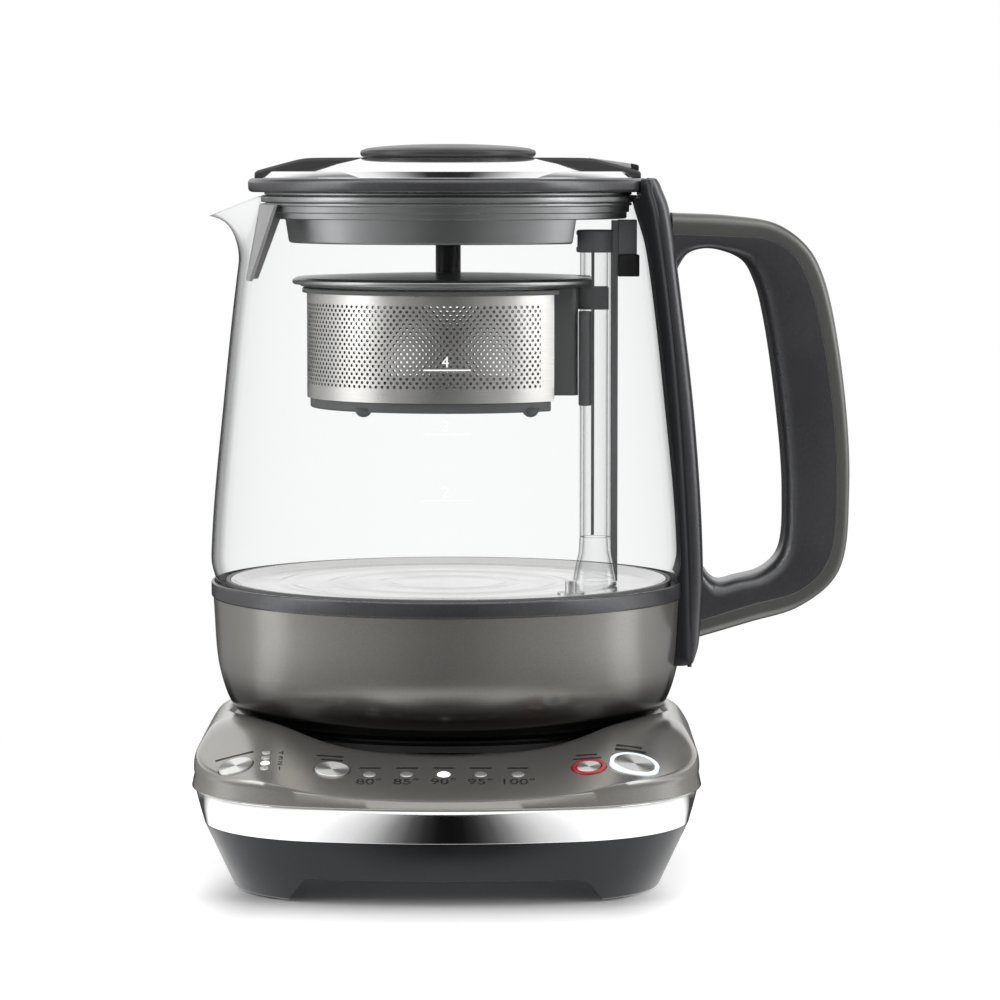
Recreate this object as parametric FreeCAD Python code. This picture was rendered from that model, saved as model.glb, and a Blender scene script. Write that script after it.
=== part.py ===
"""Automatic tea maker: a glass jug on a heated power base, with a brewing basket hung from its lid.

Millimetres. The origin is on the jug's axis, in the plane of the feet. +Z is up, -Y is the front
with the control panel, +X is the handle and -X the pouring lip. Each function makes one piece.
"""
import FreeCAD
import Part

import math
import os

from FreeCAD import Vector

# ---------------------------------------------------------------- clearances
FIT = 0.1               # pieces of one body that nest, on each side
MOVING_GAP = 0.4        # faces of pieces that move past each other
SWIVEL_GAP = 1.2        # the jug against the base's recess, on the radius

# ---------------------------------------------------------------- power base: plan
BASE_HALF_WIDTH = 78.8
BASE_FRONT = 102.0      # from the jug's axis to the front edge
BASE_REAR = 72.0        # from the jug's axis to the rear edge
FRONT_ARC = 177.0       # plan radius of the front edge
REAR_ARC = 110.0        # plan radius of the rear edge
CORNER_ARC = 50.0       # plan radius of the four corners

# ---------------------------------------------------------------- power base: levels and walls
PAD_HEIGHT = 1.0        # rubber feet
LEG_HEIGHT = 8.0        # open arch between the legs
ARCH_SLOPE = 4.5        # how far each end of the arch slopes, from its top to the feet
HOUSING_TOP = 20.2
BAND_HEIGHT = 10.8
EDGE_HEIGHT = 2.6       # upright edge of the top cover, above the band
PANEL_SLOPE = 16.0      # degrees
SHOULDER_RISE = 19.5    # from the band's top to the cover's crown
SHOULDER_INSET = 14.0   # how far the crown lies inside the edge
HOUSING_WALL = 2.4
COVER_WALL = 2.4
BAND_WALL = 1.4
BAND_TAPER = 2.9        # inset gained from the band's top to its bottom
BAND_INSET = 1.0        # the band's top, inside the cover's edge
HOUSING_TAPER = 9.2     # inset gained from the housing's top to its floor
LEG_SPAN_X = 94.0       # clear width between the front legs, at the feet
LEG_SPAN_Y = 76.0       # clear depth between the side legs, at the feet
HOUSING_FLOOR = 2.2
PAD_RADIUS = 3.6
PAD_MARGIN = 5.6        # from the pad's centre to the housing's lowest edge

# ---------------------------------------------------------------- seat and connector
SEAT_RADIUS = 64.0
SEAT_THICKNESS = 2.0
SEAT_LEVEL = 45.0
DRAIN_RIB = 1.0
POST_RADIUS = 12.0
POST_HEIGHT = 11.0      # above the seat
POST_FLANGE = 17.0
RING_DEPTH = 0.8
RING_HEIGHT = 2.2
RING_PITCH = 4.4
PIN_RADIUS = 1.5
SOCKET_WALL = 5.0
SOCKET_ROOF = 4.0

# ---------------------------------------------------------------- control panel
# (name, x, y, cap radius) of each button, measured on the panel's plan
BUTTONS = (
    ("strength_button", -63.7, -75.5, 5.4),
    ("temperature_button", -34.3, -80.1, 5.3),
    ("keep_warm_button", 43.4, -79.5, 3.7),
    ("start_button", 57.3, -77.1, 6.2),
)
BUTTON_TRAVEL = 0.8
BUTTON_PROUD = 1.4
FLANGE_WIDTH = 1.0      # under-panel flange that keeps a button in
FLANGE_THICKNESS = 1.2
BUTTON_GAP = 0.25
BUTTON_STEM = 1.6
KEEP_WARM_RING = 1.5    # width of the red ring
START_RING = 1.4        # width of the white ring
RING_PROUD = 0.5
LAMP_RADIUS = 2.0
LAMP_PITCH = 11.2
LAMP_COUNT = 5
LAMP_ROW_X = -22.9
LAMP_ROW_Y = -82.6
LAMP_PROUD = 0.4
DIAL_LAMP_RADIUS = 1.4
DIAL_LAMP_PITCH = 3.7
DIAL_LAMP_COUNT = 4
DIAL_LAMP_X = -54.7
DIAL_LAMP_Y = -80.8
BOARD_DEPTH = 6.6       # from the panel's underside to the control board
BOARD_THICKNESS = 1.6
BOARD_MARGIN = 4.0       # control board behind the base's front edge
BOARD_CLEARANCE = 3.0    # control board inside the cover's wall
BOARD_LIFT = 1.0         # control board clear of the housing and of the bosses
SWITCH_SIZE = 6.0

# ---------------------------------------------------------------- inside the base
POWER_BOARD = (70.0, 56.0)
POWER_BOARD_Y = -6.0
TRANSFORMER = (22.0, 18.0, 12.0)
RELAY = (19.0, 15.0, 12.0)
CAPACITOR_RADIUS = 4.0
CAPACITOR_HEIGHT = 12.0
BUZZER_RADIUS = 6.0
BUZZER_HEIGHT = 3.5
GLAND_RADIUS = 4.0
GLAND_LENGTH = 9.0
CORD_HOLE = 3.0
SCREW_RADIUS = 1.5
BOARD_SCREW_RADIUS = 1.2
SCREW_HEAD = 2.8
SCREW_HEAD_HEIGHT = 1.6
BOSS_RADIUS = 4.4
BOSS_X = 40.0
BOSS_Y = 30.0

# ---------------------------------------------------------------- jug housing
JUG_FLOOR_RADIUS = 62.0     # flat underside
JUG_CURVE_RADIUS = 68.4     # where the underside has curved up
JUG_CURVE_RISE = 3.8
JUG_WAIST_RADIUS = 73.2
JUG_WAIST_RISE = 16.0
JUG_TOP_RADIUS = 75.2
JUG_HOUSING_HEIGHT = 39.0
JUG_WALL = 1.6
COLLAR_RADIUS = 75.8
COLLAR_HEIGHT = 5.0
COLLAR_LEDGE = 2.6
UNDERSIDE_THICKNESS = 2.4
HEAD_RECESS = 1.2           # depth of the recess for a screw's head

# ---------------------------------------------------------------- glass body
GLASS_WALL = 2.2
GLASS_FOOT_RADIUS = 73.4
GLASS_BELLY_RADIUS = 75.8
GLASS_BELLY_RISE = 10.0     # above the glass's foot, as the next three
GLASS_SIDE_RADIUS = 71.4
GLASS_SIDE_RISE = 61.5
GLASS_NECK_GAIN = 3.8       # radius of the neck above that of the mouth
GLASS_NECK_RISE = 108.0
GLASS_MOUTH_RADIUS = 62.2
GLASS_HEIGHT = 125.0
LIP_PROUD = 14.3            # the pouring lip's tip, beyond the mouth
LIP_TIP_DROP = 6.6          # the tip, below the mouth
LIP_LENGTH = 22.0           # height of the pouring lip's root
LIP_HALF_WIDTH = 12.0

# ---------------------------------------------------------------- heater
PLATE_THICKNESS = 1.2
PLATE_RIM_WIDTH = 5.0
PLATE_RIM_RISE = 1.6
RIPPLES = (20.0, 36.0, 52.0)
RIPPLE_WIDTH = 4.0
RIPPLE_HEIGHT = 0.7
SPREADER_RADIUS = 54.0
SPREADER_THICKNESS = 3.0
ELEMENT_RADIUS = 44.0
ELEMENT_TUBE = 3.4
CUTOUT_RADIUS = 8.0
CUTOUT_HEIGHT = 5.0
CUTOUT_X = 24.0
PROBE_X = 38.4
PROBE_Y = -46.0
PROBE_RADIUS = 1.8
PROBE_HEIGHT = 5.0
PROBE_PLATE_RADIUS = 4.2
PROBE_PLATE_THICKNESS = 0.8

# ---------------------------------------------------------------- handle
# Outlines in the X-Z plane, as (reach from the axis, height above the glass's foot).
GRIP_OUTER = ((71.0, 119.4), (90.0, 118.4), (104.0, 116.0), (113.6, 109.0), (118.9, 99.4), (125.0, 69.3),
              (127.5, 32.0), (124.2, 5.4), (112.0, -5.6), (96.0, -10.7), (78.0, -16.0))
GRIP_TRIM = ((71.0, 112.8), (88.0, 112.2), (101.4, 111.0), (109.6, 106.0), (114.6, 96.6), (120.8, 68.0),
             (123.4, 32.0), (120.6, 9.0), (112.0, -0.1), (96.0, -5.0), (78.0, -10.6))
GRIP_INNER = ((73.4, 105.4), (78.4, 108.2), (88.0, 107.2), (95.6, 102.6), (99.8, 90.0), (104.8, 60.0),
              (106.9, 31.0), (104.8, 10.4), (97.0, 5.0), (86.0, 2.2), (81.4, 6.4), (80.4, 20.0), (78.3, 53.0))
STRAP_SPLIT = ((63.6, 130.0), (66.2, 120.0), (70.4, 92.0), (74.2, 53.0), (76.6, 12.0), (77.4, -24.0))
STRAP_OUTER = ((66.4, 130.6), (69.8, 121.0), (72.6, 102.0), (78.3, 53.0), (81.0, 8.0), (79.8, -16.6),
               (77.2, -25.2))
HANDLE_HALF_WIDTH = 11.0
STRAP_HALF_WIDTH = 18.0
SHELL_HALF_WIDTH = 14.0
HANDLE_SCREW_RADIUS = 1.8
HANDLE_SCREW_DROP = 12.0    # below the glass's foot
HANDLE_SCREW_LENGTH = 8.0

# ---------------------------------------------------------------- lid
LID_GAP = 1.0               # lid rim above the glass mouth
LID_OVERHANG = 1.4          # lid rim beyond the glass mouth
LID_RIM_HEIGHT = 4.4
COVER_MARGIN = 3.1          # cover inside the rim
COVER_BEVEL = 3.0
COVER_BEVEL_RISE = 2.1
DOME_EDGE = 50.0            # where the dome rises from the flat ring inside the bevel
DOME_RADIUS = 200.0
COVER_THICKNESS = 1.0
BRIDGE_HALF_WIDTH = 11.0
BRIDGE_TOP_RISE = 6.4       # above the rim's top
BRIDGE_SLOPE = 16.0         # length of each sloping end
BRIDGE_PROUD = 0.5          # the bridge's ends, beyond the cover
BRIDGE_END_RISE = 2.4
KNOB_RADIUS = 27.9
KNOB_HEIGHT = 4.4
KNOB_ROUND = 2.0
TAB_LENGTH = 12.5
TAB_TIP_LENGTH = 2.5
TAB_HALF_WIDTH = 9.0
TAB_THICKNESS = 1.2
PLUG_GAP = 1.6              # plug inside the glass
PLUG_HEIGHT = 8.4
PLUG_SKIRT_INSET = 6.4
PLUG_SKIRT_HEIGHT = 7.6
PLUG_WALL = 2.0
SEAL_PROUD = 1.1            # seal beyond the plug
SEAL_HEIGHT = 2.4
STEM_RADIUS = 4.0
STEM_CORE = 1.5

# ---------------------------------------------------------------- spout filter
FILTER_DROP = 27.0          # the filter's foot, below the mouth
FILTER_TOP_ARC = 26.0       # degrees each side of the lip, at the top
FILTER_FOOT_ARC = 14.0
FILTER_WALL = 1.1
FILTER_SLOTS = 5

# ---------------------------------------------------------------- basket
BASKET_TOP = 184.2          # underside of the basket's cover
BASKET_RADIUS = 45.0
BASKET_FLAT = 33.4          # from the axis to the flat side that faces the riser
BASKET_WALL = 0.7
BASKET_SHELL_HEIGHT = 32.4
BASKET_RIM_WIDTH = 1.5      # rim's lip, beyond the wall
BASKET_RIM_HEIGHT = 2.0
BASKET_RIM_DEPTH = 2.4      # rim's ring, inside the wall
BASKET_COVER_MARGIN = 4.6   # cover beyond the basket's wall
BASKET_COVER_HEIGHT = 4.0
BASKET_COVER_DOME = 0.6
BASKET_COVER_CUT = 1.6      # flat side of the cover, short of the riser's axis
BASKET_RING_HEIGHT = 4.0
BASKET_RING_INSET = 1.0
BASKET_RING_WALL = 2.2
BASKET_FLOOR = 0.8
BASKET_FOOT_RADIUS = 2.7
BASKET_FOOT_REACH = 26.0
BASKET_FOOT_SIDE = 30.0
DRAIN_HOLES = 12
DRAIN_HOLE_RADIUS = 1.2
DRAIN_CIRCLE = 20.0
COLUMN_DEPTH = 8.0          # inlet column, outwards from the flat side
COLUMN_HALF_WIDTH = 9.0
COLUMN_WALL = 1.5
COLUMN_HEIGHT = 32.6
SIPHON_RADIUS = 2.0
SIPHON_BORE = 1.2
SIPHON_LENGTH = 30.0
SIPHON_LOW = 0.6        # the siphon's end, above the ring's underside
SIPHON_Y = -8.6
GUIDE_WALL = 1.4
GUIDE_HEIGHT = 7.0

# ---------------------------------------------------------------- riser
COLUMN_GAP = 0.6            # riser beside the basket's column
RISER_RADIUS = 5.0
RISER_BORE = 3.9
RISER_CAP_DROP = 3.6        # the cap's top, under the plug
RISER_CAP_RADIUS = 6.2
RISER_CAP_HEIGHT = 7.2
SPINE_HALF_WIDTH = 3.0
SPINE_DEPTH = 2.0
SPINE_RISE = 3.0            # spine above the riser's top
FOOT_FLARE = 2.2
FOOT_HEIGHT = 14.0
BRACKET_HALF_WIDTH = 6.0
BRACKET_HEIGHT = 11.0
BLOCK_HEIGHT = 7.0
BLOCK_HALF_WIDTH = 5.0

# ---------------------------------------------------------------- levels that follow
BAND_BOTTOM = HOUSING_TOP
BAND_TOP = BAND_BOTTOM + BAND_HEIGHT
PANEL_FRONT = BAND_TOP + EDGE_HEIGHT
CROWN = BAND_TOP + SHOULDER_RISE
SLOPE = math.radians(PANEL_SLOPE)
RECESS_RADIUS = JUG_CURVE_RADIUS + SWIVEL_GAP
RECESS_FLOOR = SEAT_LEVEL - SEAT_THICKNESS
JUG_BOTTOM = SEAT_LEVEL + DRAIN_RIB + MOVING_GAP
JUG_TOP = JUG_BOTTOM + JUG_HOUSING_HEIGHT
COLLAR_TOP = JUG_TOP + COLLAR_HEIGHT
GLASS_FOOT = JUG_TOP + COLLAR_LEDGE
GLASS_MOUTH = GLASS_FOOT + GLASS_HEIGHT
PLATE_BOTTOM = GLASS_FOOT
PLATE_TOP = PLATE_BOTTOM + PLATE_THICKNESS
LID_BOTTOM = GLASS_MOUTH + LID_GAP
GLASS_NECK_RADIUS = GLASS_MOUTH_RADIUS + GLASS_NECK_GAIN
LIP_REACH = GLASS_MOUTH_RADIUS + LIP_PROUD
LID_RADIUS = GLASS_MOUTH_RADIUS + LID_OVERHANG
COVER_RADIUS = LID_RADIUS - COVER_MARGIN
BRIDGE_END = COVER_RADIUS + BRIDGE_PROUD
BRIDGE_FLAT = BRIDGE_END - BRIDGE_SLOPE
TAB_TIP = COVER_RADIUS
TAB_END = TAB_TIP - TAB_TIP_LENGTH
TAB_START = TAB_END - TAB_LENGTH
PLUG_RADIUS = GLASS_MOUTH_RADIUS - GLASS_WALL - PLUG_GAP
PLUG_SKIRT_RADIUS = PLUG_RADIUS - PLUG_SKIRT_INSET
SEAL_RADIUS = PLUG_RADIUS + SEAL_PROUD
BASKET_COVER_RADIUS = BASKET_RADIUS + BASKET_COVER_MARGIN
RISER_X = BASKET_FLAT + COLUMN_DEPTH + COLUMN_GAP + RISER_RADIUS
PLUG_FLAT = RISER_X - RISER_CAP_RADIUS - MOVING_GAP
LID_TOP = LID_BOTTOM + LID_RIM_HEIGHT
PLUG_BOTTOM = LID_BOTTOM - PLUG_HEIGHT
SKIRT_BOTTOM = PLUG_BOTTOM - PLUG_SKIRT_HEIGHT
RISER_TOP = PLUG_BOTTOM - RISER_CAP_DROP
COVER_TOP = LID_TOP + COVER_BEVEL_RISE
BRIDGE_TOP = LID_TOP + BRIDGE_TOP_RISE
ABOVE_ALL = 2 * BRIDGE_TOP
BASKET_BOTTOM = BASKET_TOP - BASKET_RIM_HEIGHT - BASKET_SHELL_HEIGHT


# ---------------------------------------------------------------- helpers
def cylinder(radius, z0, z1, x=0.0, y=0.0):
    """Upright cylinder between two levels."""
    return Part.makeCylinder(radius, z1 - z0, Vector(x, y, z0))


def ring(outer, inner, z0, z1, x=0.0, y=0.0):
    """Upright tube between two levels."""
    return cylinder(outer, z0, z1, x, y).cut(cylinder(inner, z0 - 1, z1 + 1, x, y))


def box(x0, x1, y0, y1, z0, z1):
    """Box between two corners."""
    return Part.makeBox(x1 - x0, y1 - y0, z1 - z0, Vector(x0, y0, z0))


def fused(shapes):
    """One solid from shapes that touch or overlap."""
    return shapes[0].multiFuse(shapes[1:]).removeSplitter()


def turned(points, curve=()):
    """Solid of revolution about Z from (radius, level) points; curve holds points joined smoothly."""
    edges = []
    start = points[0]
    if curve:
        spline = Part.BSplineCurve()
        spline.interpolate([Vector(r, 0, z) for r, z in curve])
        edges.append(spline.toShape())
        chain = [curve[-1]] + list(points) + [curve[0]]
    else:
        chain = list(points) + [start]
    for a, b in zip(chain, chain[1:]):
        if math.dist(a, b) > 1e-6:
            edges.append(Part.LineSegment(Vector(a[0], 0, a[1]), Vector(b[0], 0, b[1])).toShape())
    face = Part.Face(Part.Wire(Part.__sortEdges__(edges)))
    return face.revolve(Vector(0, 0, 0), Vector(0, 0, 1), 360)


def dee(radius, flat, z0, z1):
    """Cylinder with one flat side, towards the riser."""
    return cylinder(radius, z0, z1).cut(box(flat, 2 * radius, -radius, radius, z0 - 1, z1 + 1))


def prism_y(points, half_width):
    """Solid with an outline in the X-Z plane, spread both ways along Y."""
    wire = Part.makePolygon([Vector(x, -half_width, z) for x, z in points + [points[0]]])
    return Part.Face(wire).extrude(Vector(0, 2 * half_width, 0))


def rounded(shape, radius, pick):
    """Shape with the edges that pick accepts rounded."""
    edges = [edge for edge in shape.Edges if pick(edge)]
    return shape.makeFillet(radius, edges) if edges else shape


def corner_centres():
    """Centres of the plan's corner arcs: their X, and the Y of the front pair and the rear pair."""
    cx = BASE_HALF_WIDTH - CORNER_ARC
    front = FRONT_ARC - BASE_FRONT - math.sqrt((FRONT_ARC - CORNER_ARC) ** 2 - cx ** 2)
    rear = BASE_REAR - REAR_ARC + math.sqrt((REAR_ARC - CORNER_ARC) ** 2 - cx ** 2)
    return cx, front, rear


def plan(inset, z):
    """The base's outline, moved inwards by inset, at a level."""
    width = BASE_HALF_WIDTH - inset
    corner = CORNER_ARC - inset
    front_y = FRONT_ARC - BASE_FRONT
    rear_y = BASE_REAR - REAR_ARC
    cx, front_cy, rear_cy = corner_centres()

    def on_arc(centre_y, cy):
        """Where a long arc meets the corner arc, and the middle of that corner."""
        length = math.hypot(cx, cy - centre_y)
        ux, uy = cx / length, (cy - centre_y) / length
        meet = (cx + corner * ux, cy + corner * uy)
        angle = 0.5 * math.atan2(uy, ux)
        middle = (cx + corner * math.cos(angle), cy + corner * math.sin(angle))
        return meet, middle

    front, front_mid = on_arc(front_y, front_cy)
    rear, rear_mid = on_arc(rear_y, rear_cy)
    stations = [
        ((-front[0], front[1]), (0, inset - BASE_FRONT), front),
        (front, front_mid, (width, front_cy)),
        ((width, front_cy), None, (width, rear_cy)),
        ((width, rear_cy), rear_mid, rear),
        (rear, (0, BASE_REAR - inset), (-rear[0], rear[1])),
        ((-rear[0], rear[1]), (-rear_mid[0], rear_mid[1]), (-width, rear_cy)),
        ((-width, rear_cy), None, (-width, front_cy)),
        ((-width, front_cy), (-front_mid[0], front_mid[1]), (-front[0], front[1])),
    ]
    edges = []
    for a, mid, b in stations:
        va, vb = Vector(a[0], a[1], z), Vector(b[0], b[1], z)
        if mid is None:
            edges.append(Part.LineSegment(va, vb).toShape())
        else:
            edges.append(Part.Arc(va, Vector(mid[0], mid[1], z), vb).toShape())
    return Part.Wire(edges)


def stack(sections, ruled=True):
    """Solid through the base's outline at (inset, level) sections."""
    return Part.makeLoft([plan(inset, z) for inset, z in sections], True, ruled)


def panel_level(y):
    """Height of the panel's face at a distance along Y."""
    return PANEL_FRONT + (y + BASE_FRONT) * math.tan(SLOPE)


PANEL_NORMAL = Vector(0, -math.sin(SLOPE), math.cos(SLOPE))


def below_panel(drop):
    """Everything on the base's side of the sloping panel, lowered along its normal by drop."""
    reach = 400.0
    block = Part.makeBox(reach, reach, reach, Vector(-reach / 2, -reach / 2, -reach))
    block.rotate(Vector(0, 0, 0), Vector(1, 0, 0), PANEL_SLOPE)
    block.translate(Vector(0, -BASE_FRONT, PANEL_FRONT) - PANEL_NORMAL * drop)
    return block


def on_panel(x, y, radius, start, length, bore=0.0):
    """Cylinder or tube square to the panel, from start above its face, outwards by length."""
    foot = Vector(x, y, panel_level(y)) + PANEL_NORMAL * start
    shape = Part.makeCylinder(radius, length, foot, PANEL_NORMAL)
    if bore:
        inner = Part.makeCylinder(bore, length + 2, foot - PANEL_NORMAL, PANEL_NORMAL)
        shape = shape.cut(inner)
    return shape


PIECES = {}


def piece(make):
    """Register a function that makes one node, under the function's own name."""
    PIECES[make.__name__] = make
    return make


# ---------------------------------------------------------------- power base
HOUSING_INSET = BAND_INSET + BAND_TAPER
HOUSING_FOOT_INSET = HOUSING_INSET + HOUSING_TAPER
TRAY_FLOOR = LEG_HEIGHT + HOUSING_FLOOR
BASE_MIDDLE = (BASE_REAR - BASE_FRONT) / 2
GLAND_LEVEL = TRAY_FLOOR + GLAND_RADIUS + 5 * FIT
SWITCH_HEIGHT = 3.4
BUTTON_REACH = COVER_WALL + BOARD_DEPTH - SWITCH_HEIGHT - BUTTON_TRAVEL - MOVING_GAP


def leg_places():
    """Plan centre of each rubber foot."""
    cx, front, rear = corner_centres()
    reach = (CORNER_ARC - HOUSING_FOOT_INSET - PAD_MARGIN) * math.sqrt(0.5)
    return [(sx * (cx + reach), y) for sx in (-1, 1) for y in (front - reach, rear + reach)]


def boss_places():
    """Plan centre of each housing screw."""
    return [(sx * BOSS_X, BASE_MIDDLE + sy * BOSS_Y) for sx in (-1, 1) for sy in (-1, 1)]


def arch(span, reach):
    """Opening along Y between two legs, level on top and with ends that slope out to the feet."""
    foot = span / 2
    top = foot - ARCH_SLOPE
    outline = [(-foot, -1), (foot, -1), (foot, 0), (top, LEG_HEIGHT), (-top, LEG_HEIGHT), (-foot, 0)]
    return prism_y(outline, reach)


@piece
def base_housing():
    """Dark tray on four legs, with the bosses that carry the top cover."""
    outer = stack([(HOUSING_FOOT_INSET, PAD_HEIGHT / 2), (HOUSING_INSET, HOUSING_TOP)])
    reach = 2 * BASE_FRONT
    across = arch(LEG_SPAN_Y, reach)
    across.rotate(Vector(0, 0, 0), Vector(0, 0, 1), 90)
    across.translate(Vector(0, BASE_MIDDLE, 0))
    outer = outer.cut(arch(LEG_SPAN_X, reach)).cut(across)
    inner = stack([(HOUSING_FOOT_INSET + HOUSING_WALL, TRAY_FLOOR),
                   (HOUSING_INSET + HOUSING_WALL, HOUSING_TOP + 0.01)])
    shell = outer.cut(inner)
    for x, y in boss_places():
        shell = shell.fuse(cylinder(BOSS_RADIUS, LEG_HEIGHT + 0.5, HOUSING_TOP, x, y))
    for x, y in boss_places():
        shell = shell.cut(cylinder(SCREW_RADIUS + FIT, 0, HOUSING_TOP + 1, x, y))
        shell = shell.cut(cylinder(SCREW_HEAD + FIT, 0, LEG_HEIGHT + SCREW_HEAD_HEIGHT, x, y))
    for x, y in leg_places():
        shell = shell.cut(cylinder(PAD_RADIUS + FIT, -1, PAD_HEIGHT, x, y))
    bore = Part.makeCylinder(GLAND_RADIUS + FIT, 40, Vector(0, BASE_REAR - 35, GLAND_LEVEL), Vector(0, 1, 0))
    return shell.cut(bore)


@piece
def rubber_feet():
    """Four rubber pads let into the legs."""
    return Part.makeCompound([cylinder(PAD_RADIUS, 0, PAD_HEIGHT, x, y) for x, y in leg_places()])


@piece
def base_screws():
    """Four screws up through the tray into the cover, and three that hold the control board."""
    screws = []
    for x, y in boss_places():
        seat = LEG_HEIGHT + SCREW_HEAD_HEIGHT
        head = cylinder(SCREW_HEAD, seat - SCREW_HEAD_HEIGHT, seat, x, y)
        shank = cylinder(SCREW_RADIUS, seat, HOUSING_TOP + 7.0, x, y)
        screws.append(head.fuse(shank).removeSplitter())
    for x, y in board_screw_places():
        under = -COVER_WALL - BOARD_DEPTH - BOARD_THICKNESS
        head = on_panel(x, y, SCREW_HEAD * 0.8, under - SCREW_HEAD_HEIGHT, SCREW_HEAD_HEIGHT)
        shank = on_panel(x, y, BOARD_SCREW_RADIUS - FIT, under, BOARD_THICKNESS + 4.0)
        screws.append(head.fuse(shank).removeSplitter())
    return Part.makeCompound(screws)


@piece
def chrome_band():
    """Bright band between the tray and the top cover."""
    outer = stack([(BAND_INSET + BAND_TAPER, BAND_BOTTOM), (BAND_INSET, BAND_TOP)])
    inner = stack([(BAND_INSET + BAND_TAPER + BAND_WALL, BAND_BOTTOM), (BAND_INSET + BAND_WALL, BAND_TOP)])
    return outer.cut(inner)


def cover_form(wall, drop):
    """The top cover's domed outline, drawn in by wall and lowered by drop, under the sloping panel."""
    rise = SHOULDER_RISE
    sections = [
        (0.5 + wall, BAND_TOP - drop),
        (wall, BAND_TOP + 0.26 * rise - drop),
        (0.10 * SHOULDER_INSET + wall, BAND_TOP + 0.58 * rise - drop),
        (0.38 * SHOULDER_INSET + wall, BAND_TOP + 0.86 * rise - drop),
        (SHOULDER_INSET + wall, CROWN - drop),
    ]
    return stack(sections, ruled=False).common(below_panel(drop))


@piece
def top_cover():
    """Metallic cover: sloping control panel at the front and a round recess for the jug."""
    outer = cover_form(0.0, 0.0)
    void = cover_form(COVER_WALL, COVER_WALL)
    void = void.fuse(stack([(COVER_WALL + 0.5, BAND_TOP - COVER_WALL - 1), (COVER_WALL + 0.5, BAND_TOP)]))
    void = void.cut(cylinder(RECESS_RADIUS + COVER_WALL, RECESS_FLOOR - COVER_WALL, CROWN + 1))
    for x, y in boss_places():
        void = void.cut(cylinder(BOSS_RADIUS, HOUSING_TOP, CROWN, x, y))
    for x, y in board_screw_places():
        void = void.cut(on_panel(x, y, SWITCH_SIZE / 2, -COVER_WALL - BOARD_DEPTH, BOARD_DEPTH))
    cover = outer.cut(void)
    cover = cover.cut(cylinder(RECESS_RADIUS, RECESS_FLOOR, CROWN + 1))
    cover = cover.cut(cylinder(POST_FLANGE - 3.0, 0, CROWN))
    for x, y in boss_places():
        leg = cylinder(BOSS_RADIUS, HOUSING_TOP + FIT, BAND_TOP + 2, x, y)
        cover = cover.fuse(leg).cut(cylinder(SCREW_RADIUS, 0, HOUSING_TOP + 8, x, y))
    for name, x, y, radius in BUTTONS:
        cover = cover.cut(on_panel(x, y, button_hole(name, radius), -CROWN, 2 * CROWN))
        cover = cover.cut(on_panel(x, y, radius + FLANGE_WIDTH + MOVING_GAP, -COVER_WALL - BOARD_DEPTH, BOARD_DEPTH))
    for x, y, radius in lamp_places():
        cover = cover.cut(on_panel(x, y, radius + FIT, -CROWN, 2 * CROWN))
    for x, y in board_screw_places():
        cover = cover.cut(on_panel(x, y, BOARD_SCREW_RADIUS, -COVER_WALL - BOARD_DEPTH - 1, BOARD_DEPTH))
    return cover


def button_hole(name, radius):
    """Radius of the panel's hole for a button and its glowing ring."""
    widths = {"keep_warm_button": KEEP_WARM_RING, "start_button": START_RING}
    return radius + BUTTON_GAP + (widths[name] + FIT if name in widths else 0.0)


def lamp_places():
    """Plan centre and radius of each indicator lamp."""
    row = [(LAMP_ROW_X + i * LAMP_PITCH, LAMP_ROW_Y, LAMP_RADIUS) for i in range(LAMP_COUNT)]
    dial = [(DIAL_LAMP_X, DIAL_LAMP_Y + i * DIAL_LAMP_PITCH, DIAL_LAMP_RADIUS)
            for i in range(DIAL_LAMP_COUNT)]
    return row + dial


def board_screw_places():
    """Plan centre of the three screws that hold the control board."""
    return [(x, LAMP_ROW_Y) for x in (LAMP_ROW_X - 22.0, -LAMP_ROW_X + 9.5)] + [(0.0, LAMP_ROW_Y + 7.0)]


def lamps(places):
    """Lens plugs standing a little proud of the panel."""
    length = COVER_WALL + 0.8 + LAMP_PROUD
    return Part.makeCompound([on_panel(x, y, r, -COVER_WALL - 0.8, length) for x, y, r in places])


@piece
def temperature_lamps():
    """Row of lenses beside the temperature button."""
    return lamps(lamp_places()[:LAMP_COUNT])


@piece
def strength_lamps():
    """Short column of lenses beside the strength button."""
    return lamps(lamp_places()[LAMP_COUNT:])


def glowing_ring(index, width):
    """Clear ring round a button."""
    name, x, y, radius = BUTTONS[index]
    inner = radius + BUTTON_GAP
    return on_panel(x, y, inner + width, -COVER_WALL, COVER_WALL + RING_PROUD, inner)


@piece
def keep_warm_ring():
    """Red ring round the keep warm button."""
    return glowing_ring(2, KEEP_WARM_RING)


@piece
def start_ring():
    """White ring round the start button."""
    return glowing_ring(3, START_RING)


def button(index):
    """Cap with a retaining flange under the panel and a stem down to its switch."""
    name, x, y, radius = BUTTONS[index]
    cap = on_panel(x, y, radius, -COVER_WALL - FLANGE_THICKNESS, COVER_WALL + FLANGE_THICKNESS + BUTTON_PROUD)
    crown = FreeCAD.Vector(x, y, panel_level(y)) + PANEL_NORMAL * BUTTON_PROUD
    cap = rounded(cap, 0.5, lambda edge: edge.Closed and
                  (edge.CenterOfMass - crown).Length < 0.1)
    flange = on_panel(x, y, radius + FLANGE_WIDTH, -COVER_WALL - FLANGE_THICKNESS, FLANGE_THICKNESS - FIT)
    stem = on_panel(x, y, BUTTON_STEM, -BUTTON_REACH, BUTTON_REACH - COVER_WALL)
    return fused([cap, flange, stem])


@piece
def strength_button():
    """Button that picks the brew strength."""
    return button(0)


@piece
def temperature_button():
    """Button that picks the water temperature."""
    return button(1)


@piece
def keep_warm_button():
    """Button that keeps the tea warm."""
    return button(2)


@piece
def start_button():
    """Button that starts and stops the maker."""
    return button(3)


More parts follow.
